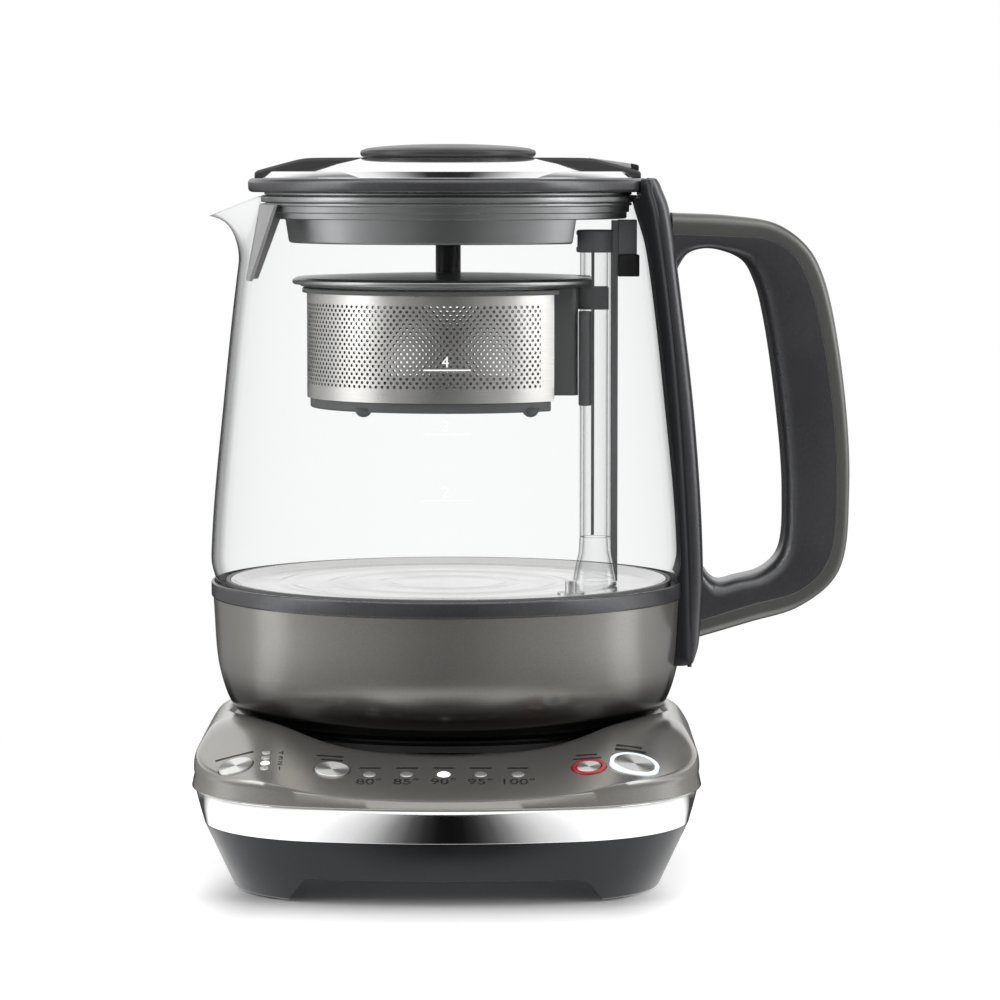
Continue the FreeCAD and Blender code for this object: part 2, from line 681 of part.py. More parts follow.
def panel_slab(depth, thickness, half_width, y0, y1):
    """Flat slab parallel to the panel, its top at a depth under the panel's face."""
    length = (y1 - y0) / math.cos(SLOPE)
    slab = Part.makeBox(2 * half_width, length, thickness, Vector(-half_width, 0, -thickness))
    slab.rotate(Vector(0, 0, 0), Vector(1, 0, 0), PANEL_SLOPE)
    slab.translate(Vector(0, y0, panel_level(y0)) - PANEL_NORMAL * depth)
    return slab


@piece
def control_board():
    """Circuit board under the panel."""
    slab = panel_slab(COVER_WALL + BOARD_DEPTH, BOARD_THICKNESS, BASE_HALF_WIDTH,
                      BOARD_MARGIN - BASE_FRONT, -RECESS_RADIUS - MOVING_GAP)
    inset = COVER_WALL + BOARD_CLEARANCE
    room = stack([(inset, HOUSING_TOP + BOARD_LIFT), (inset, CROWN)])
    board = slab.common(room)
    for x, y in board_screw_places():
        board = board.cut(on_panel(x, y, BOARD_SCREW_RADIUS + FIT, -CROWN, CROWN))
    for x, y in boss_places():
        board = board.cut(cylinder(BOSS_RADIUS + BOARD_LIFT, 0, CROWN, x, y))
    return board


@piece
def panel_switches():
    """Four push switches on the control board, one under each button."""
    switches = []
    for name, x, y, radius in BUTTONS:
        start = -COVER_WALL - BOARD_DEPTH
        switches.append(on_panel(x, y, SWITCH_SIZE / 2, start, SWITCH_HEIGHT))
    return Part.makeCompound(switches)


# ---------------------------------------------------------------- seat and connector
@piece
def jug_seat():
    """Black plate in the recess, with a rib that the jug rests above and the post's hole."""
    plate = ring(SEAT_RADIUS, POST_FLANGE - 3.0, RECESS_FLOOR, SEAT_LEVEL)
    rib = ring(JUG_FLOOR_RADIUS - 4.0, JUG_FLOOR_RADIUS - 8.0, SEAT_LEVEL, SEAT_LEVEL + DRAIN_RIB)
    return plate.fuse(rib).removeSplitter()


def contact_levels():
    """Bottom level of each contact ring on the post."""
    top = SEAT_LEVEL + POST_HEIGHT - 2.0 - RING_HEIGHT
    return [top - i * RING_PITCH for i in range(2)]


@piece
def connector_post():
    """Round male connector that lets the jug sit down at any angle."""
    flange_bottom = RECESS_FLOOR - COVER_WALL - 3.0
    post = cylinder(POST_RADIUS, flange_bottom, SEAT_LEVEL + POST_HEIGHT)
    post = post.fuse(cylinder(POST_FLANGE, flange_bottom, RECESS_FLOOR - COVER_WALL))
    post = post.fuse(cylinder(POST_FLANGE - 3.0 - FIT, RECESS_FLOOR - COVER_WALL, SEAT_LEVEL))
    for z in contact_levels():
        post = post.cut(ring(POST_RADIUS + 1, POST_RADIUS - RING_DEPTH, z, z + RING_HEIGHT))
    post = post.cut(cylinder(PIN_RADIUS + MOVING_GAP, SEAT_LEVEL - 4, SEAT_LEVEL + POST_HEIGHT + 1))
    return post.removeSplitter()


@piece
def contact_rings():
    """Two brass rings let into the post."""
    return Part.makeCompound([ring(POST_RADIUS, POST_RADIUS - RING_DEPTH, z, z + RING_HEIGHT)
                              for z in contact_levels()])


# ---------------------------------------------------------------- inside the base
POWER_BOARD_LEVEL = TRAY_FLOOR + 3.0


@piece
def power_board():
    """Mains board on four short pillars of its own."""
    half_x, half_y = POWER_BOARD[0] / 2, POWER_BOARD[1] / 2
    board = box(-half_x, half_x, POWER_BOARD_Y - half_y, POWER_BOARD_Y + half_y,
                POWER_BOARD_LEVEL, POWER_BOARD_LEVEL + BOARD_THICKNESS)
    for sx in (-1, 1):
        for sy in (-1, 1):
            pillar = cylinder(2.5, TRAY_FLOOR, POWER_BOARD_LEVEL, sx * (half_x - 4), POWER_BOARD_Y + sy * (half_y - 4))
            board = board.fuse(pillar)
    return board.removeSplitter()


def on_board(x, y, size):
    """Box-shaped component standing on the power board."""
    z = POWER_BOARD_LEVEL + BOARD_THICKNESS
    return box(x - size[0] / 2, x + size[0] / 2, y - size[1] / 2, y + size[1] / 2, z, z + size[2])


@piece
def supply_components():
    """Transformer, relay, capacitors and buzzer that stand on the power board and the tray."""
    z = POWER_BOARD_LEVEL + BOARD_THICKNESS
    edge = POWER_BOARD[0] / 2 - 2.0
    parts = [
        on_board(edge - TRANSFORMER[0] / 2, POWER_BOARD_Y + 8, TRANSFORMER),
        on_board(RELAY[0] / 2 - edge, POWER_BOARD_Y + 8, RELAY),
        cylinder(BUZZER_RADIUS, TRAY_FLOOR, TRAY_FLOOR + BUZZER_HEIGHT, 0, BASE_MIDDLE - BOSS_Y),
    ]
    for side in (-1, 1):
        parts.append(cylinder(CAPACITOR_RADIUS, z, z + CAPACITOR_HEIGHT, side * 8.0, POWER_BOARD_Y - 16.0))
    return Part.makeCompound(parts)


@piece
def cord_gland():
    """Rubber gland in the rear wall, where the power cord enters."""
    wall_y = BASE_REAR - HOUSING_INSET
    start = Vector(0, wall_y - HOUSING_TAPER - HOUSING_WALL - 2.0, GLAND_LEVEL)
    length = HOUSING_TAPER + HOUSING_WALL + 2.0
    body = Part.makeCylinder(GLAND_RADIUS, length, start, Vector(0, 1, 0))
    hole = Part.makeCylinder(CORD_HOLE, length + 2, start - Vector(0, 1, 0), Vector(0, 1, 0))
    return body.cut(hole)

# ---------------------------------------------------------------- jug housing
SOCKET_BORE = POST_RADIUS + MOVING_GAP
SOCKET_RADIUS = SOCKET_BORE + SOCKET_WALL
SOCKET_TOP = SEAT_LEVEL + POST_HEIGHT + MOVING_GAP + SOCKET_ROOF
SOCKET_FLANGE = 3.0
UNDERSIDE_RADIUS = JUG_FLOOR_RADIUS - 8.0


def housing_curve(wall):
    """Side of the jug's housing, drawn in by a wall."""
    return [
        (JUG_FLOOR_RADIUS, JUG_BOTTOM + wall),
        (JUG_CURVE_RADIUS - wall, JUG_BOTTOM + JUG_CURVE_RISE + 0.6 * wall),
        (JUG_WAIST_RADIUS - wall, JUG_BOTTOM + JUG_WAIST_RISE),
        (JUG_TOP_RADIUS - wall, JUG_TOP),
    ]


@piece
def jug_housing():
    """Metallic shell round the heater, open at its top and underside."""
    outer = turned([(0, JUG_TOP), (0, JUG_BOTTOM)], housing_curve(0.0))
    inner = turned([(0, JUG_TOP), (0, JUG_BOTTOM + JUG_WALL)], housing_curve(JUG_WALL))
    shell = outer.cut(inner).cut(cylinder(UNDERSIDE_RADIUS + FIT, 0, JUG_TOP))
    z = GLASS_FOOT - HANDLE_SCREW_DROP
    return shell.cut(Part.makeCylinder(HANDLE_SCREW_RADIUS, 60, Vector(40, 0, z), Vector(1, 0, 0)))


@piece
def underside_cover():
    """Dark disc that closes the jug's underside round the socket."""
    disc = ring(UNDERSIDE_RADIUS, SOCKET_RADIUS + MOVING_GAP, JUG_BOTTOM, JUG_BOTTOM + UNDERSIDE_THICKNESS)
    lip = ring(UNDERSIDE_RADIUS + 4.0, UNDERSIDE_RADIUS - 3.0, JUG_BOTTOM + JUG_WALL,
               JUG_BOTTOM + UNDERSIDE_THICKNESS + 1.0)
    disc = disc.fuse(lip).removeSplitter()
    for x, y in underside_screw_places():
        disc = disc.cut(cylinder(SCREW_RADIUS + FIT, 0, 90, x, y))
        disc = disc.cut(cylinder(SCREW_HEAD + FIT, 0, JUG_BOTTOM + HEAD_RECESS, x, y))
        disc = disc.fuse(ring(SCREW_HEAD, SCREW_RADIUS + FIT, JUG_BOTTOM + UNDERSIDE_THICKNESS,
                              PLATE_BOTTOM - SPREADER_THICKNESS, x, y))
    return disc


def underside_screw_places():
    """Plan centre of the three screws that hold the underside to the heater."""
    reach = 0.5 * (SOCKET_RADIUS + SOCKET_FLANGE + UNDERSIDE_RADIUS) - 2.0
    return [(reach * math.cos(math.radians(a)), reach * math.sin(math.radians(a))) for a in (60, 180, 300)]


@piece
def jug_socket():
    """Female connector that drops over the post and turns on it, with its middle pin."""
    body = cylinder(SOCKET_RADIUS, JUG_BOTTOM, SOCKET_TOP)
    flange_bottom = JUG_BOTTOM + UNDERSIDE_THICKNESS + MOVING_GAP
    body = body.fuse(cylinder(SOCKET_RADIUS + SOCKET_FLANGE, flange_bottom, flange_bottom + 2.0))
    body = body.cut(cylinder(SOCKET_BORE, 0, SOCKET_TOP - SOCKET_ROOF))
    pin = cylinder(PIN_RADIUS, SEAT_LEVEL + 2.0, SOCKET_TOP - 1.0)
    return Part.makeCompound([body.cut(pin).removeSplitter(), pin])


# ---------------------------------------------------------------- heater
def glass_curve(inset):
    """Side of the glass body, drawn in by inset."""
    return [
        (GLASS_FOOT_RADIUS - inset, GLASS_FOOT),
        (GLASS_BELLY_RADIUS - inset, GLASS_FOOT + GLASS_BELLY_RISE),
        (GLASS_SIDE_RADIUS - inset, GLASS_FOOT + GLASS_SIDE_RISE),
        (GLASS_NECK_RADIUS - inset, GLASS_FOOT + GLASS_NECK_RISE),
        (GLASS_MOUTH_RADIUS - inset, GLASS_MOUTH),
    ]


def glass_radius(z, inset=0.0):
    """Radius of the glass's side at a level."""
    spline = Part.BSplineCurve()
    spline.interpolate([Vector(r, 0, level) for r, level in glass_curve(inset)])
    low, high = spline.FirstParameter, spline.LastParameter
    for _ in range(40):
        middle = 0.5 * (low + high)
        if spline.value(middle).z < z:
            low = middle
        else:
            high = middle
    return spline.value(low).x


PLATE_RADIUS = GLASS_FOOT_RADIUS - GLASS_WALL - 1.4
SPREADER_BOTTOM = PLATE_BOTTOM - SPREADER_THICKNESS


@piece
def collar_ring():
    """Dark ring that carries the glass on the housing."""
    ledge = ring(COLLAR_RADIUS, PLATE_RADIUS - 8.0, JUG_TOP, GLASS_FOOT)
    lip = ring(COLLAR_RADIUS, glass_radius(COLLAR_TOP) + FIT, GLASS_FOOT - 0.1, COLLAR_TOP)
    return ledge.fuse(lip).removeSplitter()


@piece
def floor_seal():
    """Silicone ring between the heater's plate and the glass."""
    return ring(GLASS_FOOT_RADIUS - GLASS_WALL - FIT, PLATE_RADIUS + FIT, GLASS_FOOT,
                GLASS_FOOT + PLATE_RIM_RISE + PLATE_THICKNESS)


@piece
def heater_plate():
    """Polished floor of the jug, with a raised rim and pressed rings."""
    top = [(PLATE_RADIUS, PLATE_TOP + PLATE_RIM_RISE), (PLATE_RADIUS - PLATE_RIM_WIDTH + 1, PLATE_TOP + PLATE_RIM_RISE),
           (PLATE_RADIUS - PLATE_RIM_WIDTH, PLATE_TOP)]
    for r in reversed(RIPPLES):
        top += [(r + RIPPLE_WIDTH / 2, PLATE_TOP), (r, PLATE_TOP + RIPPLE_HEIGHT), (r - RIPPLE_WIDTH / 2, PLATE_TOP)]
    top += [(0, PLATE_TOP), (0, PLATE_BOTTOM), (PLATE_RADIUS, PLATE_BOTTOM)]
    plate = turned(top)
    return plate.cut(cylinder(PROBE_RADIUS + FIT, 0, 200, PROBE_X, PROBE_Y))


@piece
def heat_spreader():
    """Aluminium disc brazed under the plate."""
    disc = cylinder(SPREADER_RADIUS, SPREADER_BOTTOM, PLATE_BOTTOM)
    for x, y in underside_screw_places():
        disc = disc.cut(cylinder(SCREW_RADIUS, 0, PLATE_BOTTOM - 0.5 * SPREADER_THICKNESS, x, y))
    return disc


@piece
def heating_element():
    """Ring-shaped heating tube, flattened where it meets the spreader."""
    centre = Vector(0, 0, SPREADER_BOTTOM - 0.8 * ELEMENT_TUBE)
    torus = Part.makeTorus(ELEMENT_RADIUS, ELEMENT_TUBE, centre)
    return torus.cut(cylinder(SPREADER_RADIUS + 9, SPREADER_BOTTOM, PLATE_BOTTOM + 5))


@piece
def thermal_cutouts():
    """Two safety cut-outs against the spreader."""
    return Part.makeCompound([
        cylinder(CUTOUT_RADIUS, SPREADER_BOTTOM - CUTOUT_HEIGHT, SPREADER_BOTTOM, 0, sy * CUTOUT_X) for sy in (-1, 1)])


@piece
def temperature_probe():
    """Thin probe that stands up through the plate, with a collar on it."""
    pin = cylinder(PROBE_RADIUS, PLATE_BOTTOM - 6.0, PLATE_TOP + PROBE_HEIGHT, PROBE_X, PROBE_Y)
    collar = cylinder(PROBE_PLATE_RADIUS, PLATE_TOP + RIPPLE_HEIGHT, PLATE_TOP + RIPPLE_HEIGHT + PROBE_PLATE_THICKNESS,
                      PROBE_X, PROBE_Y)
    return pin.fuse(collar).removeSplitter()


# ---------------------------------------------------------------- glass body
def lip_form(inset):
    """Pouring lip: round sections that flare outwards as they rise."""
    tip = GLASS_MOUTH - LIP_TIP_DROP
    root = GLASS_MOUTH - LIP_LENGTH
    side = glass_radius(root)
    flare = LIP_REACH - side
    wires = []
    for share, reach, half in ((0.0, 0.0, 0.62), (0.5, 0.10, 0.72), (0.82, 0.48, 0.86), (1.0, 1.0, 1.0),
                               (1.25, 1.9, 1.2)):
        z = root + share * (tip - root)
        radius = half * LIP_HALF_WIDTH - inset
        x = -(side + reach * flare) + half * LIP_HALF_WIDTH
        wires.append(Part.Wire(Part.makeCircle(radius, Vector(x, 0, z))))
    return Part.makeLoft(wires, True, False)


@piece
def glass_body():
    """Blown glass body with a pouring lip."""
    outer = turned([(0, GLASS_MOUTH), (0, GLASS_FOOT)], glass_curve(0.0)).fuse(lip_form(0.0))
    inner = turned([(0, GLASS_MOUTH), (0, GLASS_FOOT)], glass_curve(GLASS_WALL)).fuse(lip_form(GLASS_WALL))
    glass = outer.cut(inner).cut(cylinder(2 * LIP_REACH, GLASS_MOUTH, GLASS_MOUTH + 40))
    start = -(GLASS_MOUTH_RADIUS - 2 * GLASS_WALL)
    fall = LIP_TIP_DROP / (LIP_REACH + start)
    far = 2 * LIP_REACH
    wedge = prism_y([(start, GLASS_MOUTH), (-far, GLASS_MOUTH - fall * (far + start)), (-far, GLASS_MOUTH + 40),
                     (start, GLASS_MOUTH + 40)], 2 * LIP_HALF_WIDTH)
    return glass.cut(wedge)


# ---------------------------------------------------------------- handle
def side_view(points, tail, half_width):
    """Solid whose side view is a spline through points, closed by straight runs through tail."""
    raised = [Vector(x, -half_width, GLASS_FOOT + z) for x, z in points]
    spline = Part.BSplineCurve()
    spline.interpolate(raised)
    corners = [raised[-1]] + [Vector(x, -half_width, GLASS_FOOT + z) for x, z in tail] + [raised[0]]
    edges = [spline.toShape()]
    edges += [Part.LineSegment(a, b).toShape() for a, b in zip(corners, corners[1:])]
    return Part.Face(Part.Wire(edges)).extrude(Vector(0, 2 * half_width, 0))


def closed_view(points, half_width):
    """Solid whose side view is a closed spline through points."""
    spline = Part.BSplineCurve()
    spline.interpolate([Vector(x, -half_width, GLASS_FOOT + z) for x, z in points], PeriodicFlag=True)
    return Part.Face(Part.Wire([spline.toShape()])).extrude(Vector(0, 2 * half_width, 0))


def jug_form():
    """The jug's whole outside, with a little room for the strap to lie on."""
    glass = turned([(0, GLASS_MOUTH), (0, GLASS_FOOT)], glass_curve(-FIT))
    housing = turned([(0, JUG_TOP), (0, JUG_BOTTOM)], housing_curve(-FIT))
    collar = cylinder(COLLAR_RADIUS + FIT, JUG_TOP - 0.5, COLLAR_TOP + FIT)
    return glass.fuse(housing).fuse(collar)


def inside_split():
    """Everything on the jug's side of the line where strap and shell meet."""
    low, high = -2 * GLASS_HEIGHT, 2 * GLASS_HEIGHT
    foot, head = STRAP_SPLIT[-1][0], STRAP_SPLIT[0][0]
    return side_view(STRAP_SPLIT, ((foot, low), (-head, low), (-head, high), (head, high)), 4 * STRAP_HALF_WIDTH)


def outer_strap(half_width):
    """Side view of the strap with its shell, filled through to the jug's axis."""
    return side_view(STRAP_OUTER, ((0.0, STRAP_OUTER[-1][1]), (0.0, STRAP_OUTER[0][1])), half_width)


def lid_room():
    """Space that the lid needs beside the handle's top."""
    return cylinder(LID_RADIUS + MOVING_GAP, GLASS_MOUTH, GLASS_MOUTH + 60)


def handle_screw(grow):
    """Screw from inside the housing through the strap into the handle."""
    z = GLASS_FOOT - HANDLE_SCREW_DROP
    seat = JUG_WAIST_RADIUS - JUG_WALL - 0.6
    shank = Part.makeCylinder(HANDLE_SCREW_RADIUS + grow, HANDLE_SCREW_LENGTH, Vector(seat, 0, z), Vector(1, 0, 0))
    head = Part.makeCylinder(1.8 * HANDLE_SCREW_RADIUS + grow, 2.0, Vector(seat - 2.0, 0, z), Vector(1, 0, 0))
    return shank.fuse(head).removeSplitter()


@piece
def jug_screws():
    """Three screws from the underside into the spreader, and one that holds the handle's foot."""
    screws = [handle_screw(0.0)]
    seat = JUG_BOTTOM + HEAD_RECESS
    for x, y in underside_screw_places():
        head = cylinder(SCREW_HEAD, seat - HEAD_RECESS + FIT, seat, x, y)
        shank = cylinder(SCREW_RADIUS, seat, PLATE_BOTTOM - 0.6 * SPREADER_THICKNESS, x, y)
        screws.append(head.fuse(shank).removeSplitter())
    return Part.makeCompound(screws)


@piece
def handle_strap():
    """Dark strap that hugs the glass behind the handle."""
    strap = side_view(STRAP_SPLIT, ((30.0, STRAP_SPLIT[-1][1]), (30.0, STRAP_SPLIT[0][1])), STRAP_HALF_WIDTH)
    strap = strap.cut(jug_form()).cut(lid_room())
    strap = strap.cut(cylinder(GLASS_MOUTH_RADIUS + FIT, GLASS_MOUTH - 1, GLASS_MOUTH + 1))
    return strap.cut(handle_screw(FIT))


@piece
def handle_body():
    """Outer shell of the strap with the loop of the grip."""
    grip = side_view(GRIP_TRIM, ((60.0, GRIP_TRIM[-1][1]), (60.0, GRIP_TRIM[0][1])), HANDLE_HALF_WIDTH)
    grip = grip.cut(closed_view(GRIP_INNER, HANDLE_HALF_WIDTH + 1))
    body = outer_strap(SHELL_HALF_WIDTH).fuse(grip)
    body = body.cut(inside_split()).cut(lid_room()).cut(jug_form())
    return body.cut(handle_screw(0.0)).removeSplitter()


@piece
def handle_trim():
    """Metallic strip round the outside of the grip."""
    outer = side_view(GRIP_OUTER, ((60.0, GRIP_OUTER[-1][1]), (60.0, GRIP_OUTER[0][1])), HANDLE_HALF_WIDTH)
    inner = side_view(GRIP_TRIM, ((50.0, GRIP_TRIM[-1][1]), (50.0, GRIP_TRIM[0][1])), HANDLE_HALF_WIDTH + 1)
    return outer.cut(inner).cut(outer_strap(SHELL_HALF_WIDTH + 1))


# ---------------------------------------------------------------- spout filter and riser
@piece
def spout_filter():
    """Thin curved screen that hangs inside the pouring lip."""
    foot = GLASS_MOUTH - FILTER_DROP
    top = LID_BOTTOM - PLUG_HEIGHT / 4 - SEAL_HEIGHT / 2 - MOVING_GAP
    top_radius = PLUG_RADIUS + MOVING_GAP
    foot_radius = glass_radius(foot, GLASS_WALL) - 2 * FIT - FILTER_WALL
    screen = turned([(top_radius, top), (top_radius + FILTER_WALL, top),
                     (foot_radius + FILTER_WALL, foot), (foot_radius, foot)])
    far = 2 * LIP_REACH
    tan_top = math.tan(math.radians(FILTER_TOP_ARC)) * top_radius
    tan_foot = math.tan(math.radians(FILTER_FOOT_ARC)) * foot_radius
    outline = [Vector(-far, -tan_foot, foot - 1), Vector(-far, tan_foot, foot - 1), Vector(-far, tan_top, top + 1),
               Vector(-far, -tan_top, top + 1)]
    sector = Part.Face(Part.makePolygon(outline + outline[:1])).extrude(Vector(far, 0, 0))
    screen = screen.common(sector)
    middle = 0.5 * (foot + top) - 2.0
    for i in range(FILTER_SLOTS):
        y = (i - (FILTER_SLOTS - 1) / 2) * 4.4
        screen = screen.cut(box(-far, 0, y - 0.9, y + 0.9, middle - 7.0, middle + 7.0))
    return screen


@piece
def riser_tube():
    """Clear tube that carries hot water from the floor up to the basket."""
    bottom = PLATE_TOP + RIPPLE_HEIGHT + MOVING_GAP
    tube = ring(RISER_RADIUS, RISER_BORE, bottom + FOOT_HEIGHT, RISER_TOP - 1.5, RISER_X)
    return tube


@piece
def riser_foot():
    """Flared foot of the riser, cut away below so that water can enter."""
    bottom = PLATE_TOP + RIPPLE_HEIGHT
    outer = Part.makeCone(RISER_RADIUS + FOOT_FLARE, RISER_RADIUS, FOOT_HEIGHT, Vector(RISER_X, 0, bottom))
    inner = Part.makeCone(RISER_BORE + FOOT_FLARE, RISER_BORE, FOOT_HEIGHT, Vector(RISER_X, 0, bottom))
    foot = outer.cut(inner)
    for angle in (45, 135, 225, 315):
        slot = Part.makeBox(20, 2.4, 4.0, Vector(0, -1.2, bottom - 0.5))
        slot.rotate(Vector(0, 0, 0), Vector(0, 0, 1), angle)
        slot.translate(Vector(RISER_X, 0, 0))
        foot = foot.cut(slot)
    return foot


def riser_side():
    """Distance from the axis to the riser's side that faces the handle."""
    return RISER_X + RISER_RADIUS


@piece
def riser_cap():
    """Dark cap of the riser with a spout hole towards the basket."""
    outer = cylinder(RISER_CAP_RADIUS, RISER_TOP - RISER_CAP_HEIGHT, RISER_TOP, RISER_X)
    bore = cylinder(RISER_RADIUS, RISER_TOP - RISER_CAP_HEIGHT - 1, RISER_TOP - 1.5, RISER_X)
    port = box(RISER_X - 10, RISER_X, -2.0, 2.0, RISER_TOP - 5.5, RISER_TOP - 1.5)
    return outer.cut(bore).cut(port)


@piece
def riser_spine():
    """Dark rib behind the riser, from the floor to above its cap."""
    start = riser_side()
    bottom = PLATE_TOP + RIPPLE_HEIGHT
    rib = box(start, start + SPINE_DEPTH, -SPINE_HALF_WIDTH, SPINE_HALF_WIDTH, bottom, RISER_TOP + SPINE_RISE)
    rib = rib.cut(Part.makeCone(RISER_RADIUS + FOOT_FLARE, RISER_RADIUS, FOOT_HEIGHT, Vector(RISER_X, 0, bottom)))
    return rib.cut(cylinder(RISER_CAP_RADIUS, RISER_TOP - RISER_CAP_HEIGHT, RISER_TOP, RISER_X))


def glass_inside():
    """Room inside the glass, a fit away from its wall."""
    return turned([(0, GLASS_MOUTH), (0, GLASS_FOOT)], glass_curve(GLASS_WALL + FIT))


@piece
def riser_bracket():
    """Dark bracket that holds the spine to the glass's neck, with a black block under it."""
    start = riser_side() + SPINE_DEPTH
    reach = GLASS_NECK_RADIUS + 5
    top = PLUG_BOTTOM - MOVING_GAP
    low = top - BRACKET_HEIGHT
    arm = box(start, reach, -BRACKET_HALF_WIDTH, BRACKET_HALF_WIDTH, low, top)
    block = box(start, reach, -BLOCK_HALF_WIDTH, BLOCK_HALF_WIDTH, low - BLOCK_HEIGHT, low)
    return Part.makeCompound([arm.common(glass_inside()), block.common(glass_inside())])


# ---------------------------------------------------------------- lid
def dome_form(wall):
    """The lid cover's bevelled dome as a solid, lowered by a wall."""
    base = math.sqrt(DOME_RADIUS ** 2 - DOME_EDGE ** 2)
    crown = [(r, COVER_TOP - wall + math.sqrt(DOME_RADIUS ** 2 - r ** 2) - base)
             for r in (0.0, DOME_EDGE / 2, DOME_EDGE)]
    return turned([(COVER_RADIUS - COVER_BEVEL, COVER_TOP - wall), (COVER_RADIUS, LID_TOP - wall),
                   (0, LID_TOP - wall)], crown)


def riser_notch(z0, z1):
    """Slot that clears the riser's cap and spine, open towards the handle."""
    gap = RISER_CAP_RADIUS + MOVING_GAP
    return cylinder(gap, z0, z1, RISER_X).fuse(box(RISER_X, 2 * RISER_X, -gap, gap, z0, z1))


@piece
def lid_rim():
    """Dark rim of the lid, over the glass mouth."""
    rim = ring(LID_RADIUS, PLUG_RADIUS - PLUG_WALL, LID_BOTTOM, LID_TOP)
    rim = rounded(rim, 1.0, lambda e: e.Closed and abs(e.BoundBox.XMax - LID_RADIUS) < 0.01 and
                  abs(e.BoundBox.ZMin - LID_TOP) < 0.01)
    return rim


@piece
def lid_plug():
    """Grey plug under the rim: stepped band, closed floor and a skirt with a flat side at the riser."""
    inner = PLUG_RADIUS - PLUG_WALL
    step = PLUG_HEIGHT / 4
    band = turned([(inner, LID_BOTTOM), (PLUG_RADIUS, LID_BOTTOM), (PLUG_RADIUS, LID_BOTTOM - 2 * step),
                   (PLUG_RADIUS - 0.8, LID_BOTTOM - 2 * step), (PLUG_RADIUS - 0.8, LID_BOTTOM - 3 * step),
                   (PLUG_RADIUS - 1.6, LID_BOTTOM - 3 * step), (PLUG_RADIUS - 1.6, PLUG_BOTTOM),
                   (0, PLUG_BOTTOM), (0, PLUG_BOTTOM + PLUG_WALL), (inner - 1.6, PLUG_BOTTOM + PLUG_WALL),
                   (inner - 1.6, LID_BOTTOM - step), (inner, LID_BOTTOM - step)])
    band = band.cut(ring(PLUG_RADIUS + 1, PLUG_RADIUS - 0.6, LID_BOTTOM - step - SEAL_HEIGHT / 2,
                         LID_BOTTOM - step + SEAL_HEIGHT / 2))
    skirt = dee(PLUG_SKIRT_RADIUS, PLUG_FLAT, SKIRT_BOTTOM, PLUG_BOTTOM)
    skirt = skirt.cut(dee(PLUG_SKIRT_RADIUS - PLUG_WALL, PLUG_FLAT - PLUG_WALL, SKIRT_BOTTOM - 1, PLUG_BOTTOM))
    plug = band.fuse(skirt)
    return plug.cut(cylinder(STEM_CORE + FIT, 0, PLUG_BOTTOM + 2 * PLUG_WALL)).removeSplitter()


@piece
def lid_seal():
    """Silicone ring round the plug."""
    middle = LID_BOTTOM - PLUG_HEIGHT / 4
    return ring(SEAL_RADIUS, PLUG_RADIUS - 0.6, middle - SEAL_HEIGHT / 2, middle + SEAL_HEIGHT / 2)


@piece
def lid_cover():
    """Polished domed cover with a bevelled edge."""
    return dome_form(0.0).cut(dome_form(COVER_THICKNESS).common(cylinder(COVER_RADIUS - COVER_BEVEL, 0, ABOVE_ALL))).cut(
        cylinder(STEM_CORE + FIT, 0, ABOVE_ALL))


@piece
def lid_bridge():
    """Dark bridge across the cover, standing out of the dome at both ends."""
    base = LID_TOP
    outline = [(-BRIDGE_END, base), (-BRIDGE_END, base + BRIDGE_END_RISE), (-BRIDGE_FLAT, BRIDGE_TOP),
               (BRIDGE_FLAT, BRIDGE_TOP), (BRIDGE_END, base + BRIDGE_END_RISE), (BRIDGE_END, base)]
    bridge = prism_y(outline, BRIDGE_HALF_WIDTH).common(cylinder(BRIDGE_END, 0, ABOVE_ALL))
    return bridge.cut(dome_form(0.0)).cut(cylinder(KNOB_RADIUS - 2.0, 0, ABOVE_ALL))


@piece
def knob():
    """Low round knob on the middle of the cover."""
    top = BRIDGE_TOP + KNOB_HEIGHT
    disc = cylinder(KNOB_RADIUS, BRIDGE_TOP, top)
    disc = rounded(disc, KNOB_ROUND, lambda e: e.Closed and abs(e.BoundBox.ZMin - top) < 0.01)
    return disc.cut(dome_form(0.0)).cut(cylinder(STEM_CORE, 0, BRIDGE_TOP + 0.6 * KNOB_HEIGHT))


@piece
def knob_screw():
    """Screw from the plug up through the cover into the knob."""
    seat = PLUG_BOTTOM + PLUG_WALL
    shank = cylinder(STEM_CORE, PLUG_BOTTOM, BRIDGE_TOP + 0.6 * KNOB_HEIGHT - 0.2)
    return shank.fuse(cylinder(SCREW_HEAD, seat, seat + SCREW_HEAD_HEIGHT)).removeSplitter()


def tab_rise():
    """Fall of the bridge's sloping end for each millimetre outwards."""
    return (BRIDGE_TOP_RISE - BRIDGE_END_RISE) / (BRIDGE_END - BRIDGE_FLAT)


@piece
def lid_tab():
    """Bright wedge on the handle end of the bridge."""
    low = BRIDGE_TOP - (TAB_END - BRIDGE_FLAT) * tab_rise()
    near = BRIDGE_TOP - (TAB_START - BRIDGE_FLAT) * tab_rise()
    return prism_y([(TAB_START, near), (TAB_END, low), (TAB_END, low + TAB_THICKNESS), (TAB_START + 1.0, near + 0.1)],
                   TAB_HALF_WIDTH)


@piece
def lid_tab_tip():
    """Black tip at the end of the tab."""
    low = BRIDGE_TOP - (TAB_END - BRIDGE_FLAT) * tab_rise()
    fall = (TAB_TIP - TAB_END) * tab_rise()
    return prism_y([(TAB_END, low), (TAB_TIP, low - fall), (TAB_TIP, low + TAB_THICKNESS - 0.2),
                    (TAB_END, low + TAB_THICKNESS)], TAB_HALF_WIDTH)


@piece
def stem():
    """Dark rod that hangs the basket's cover from the plug."""
    return cylinder(STEM_RADIUS, BASKET_TOP + BASKET_COVER_HEIGHT, PLUG_BOTTOM)


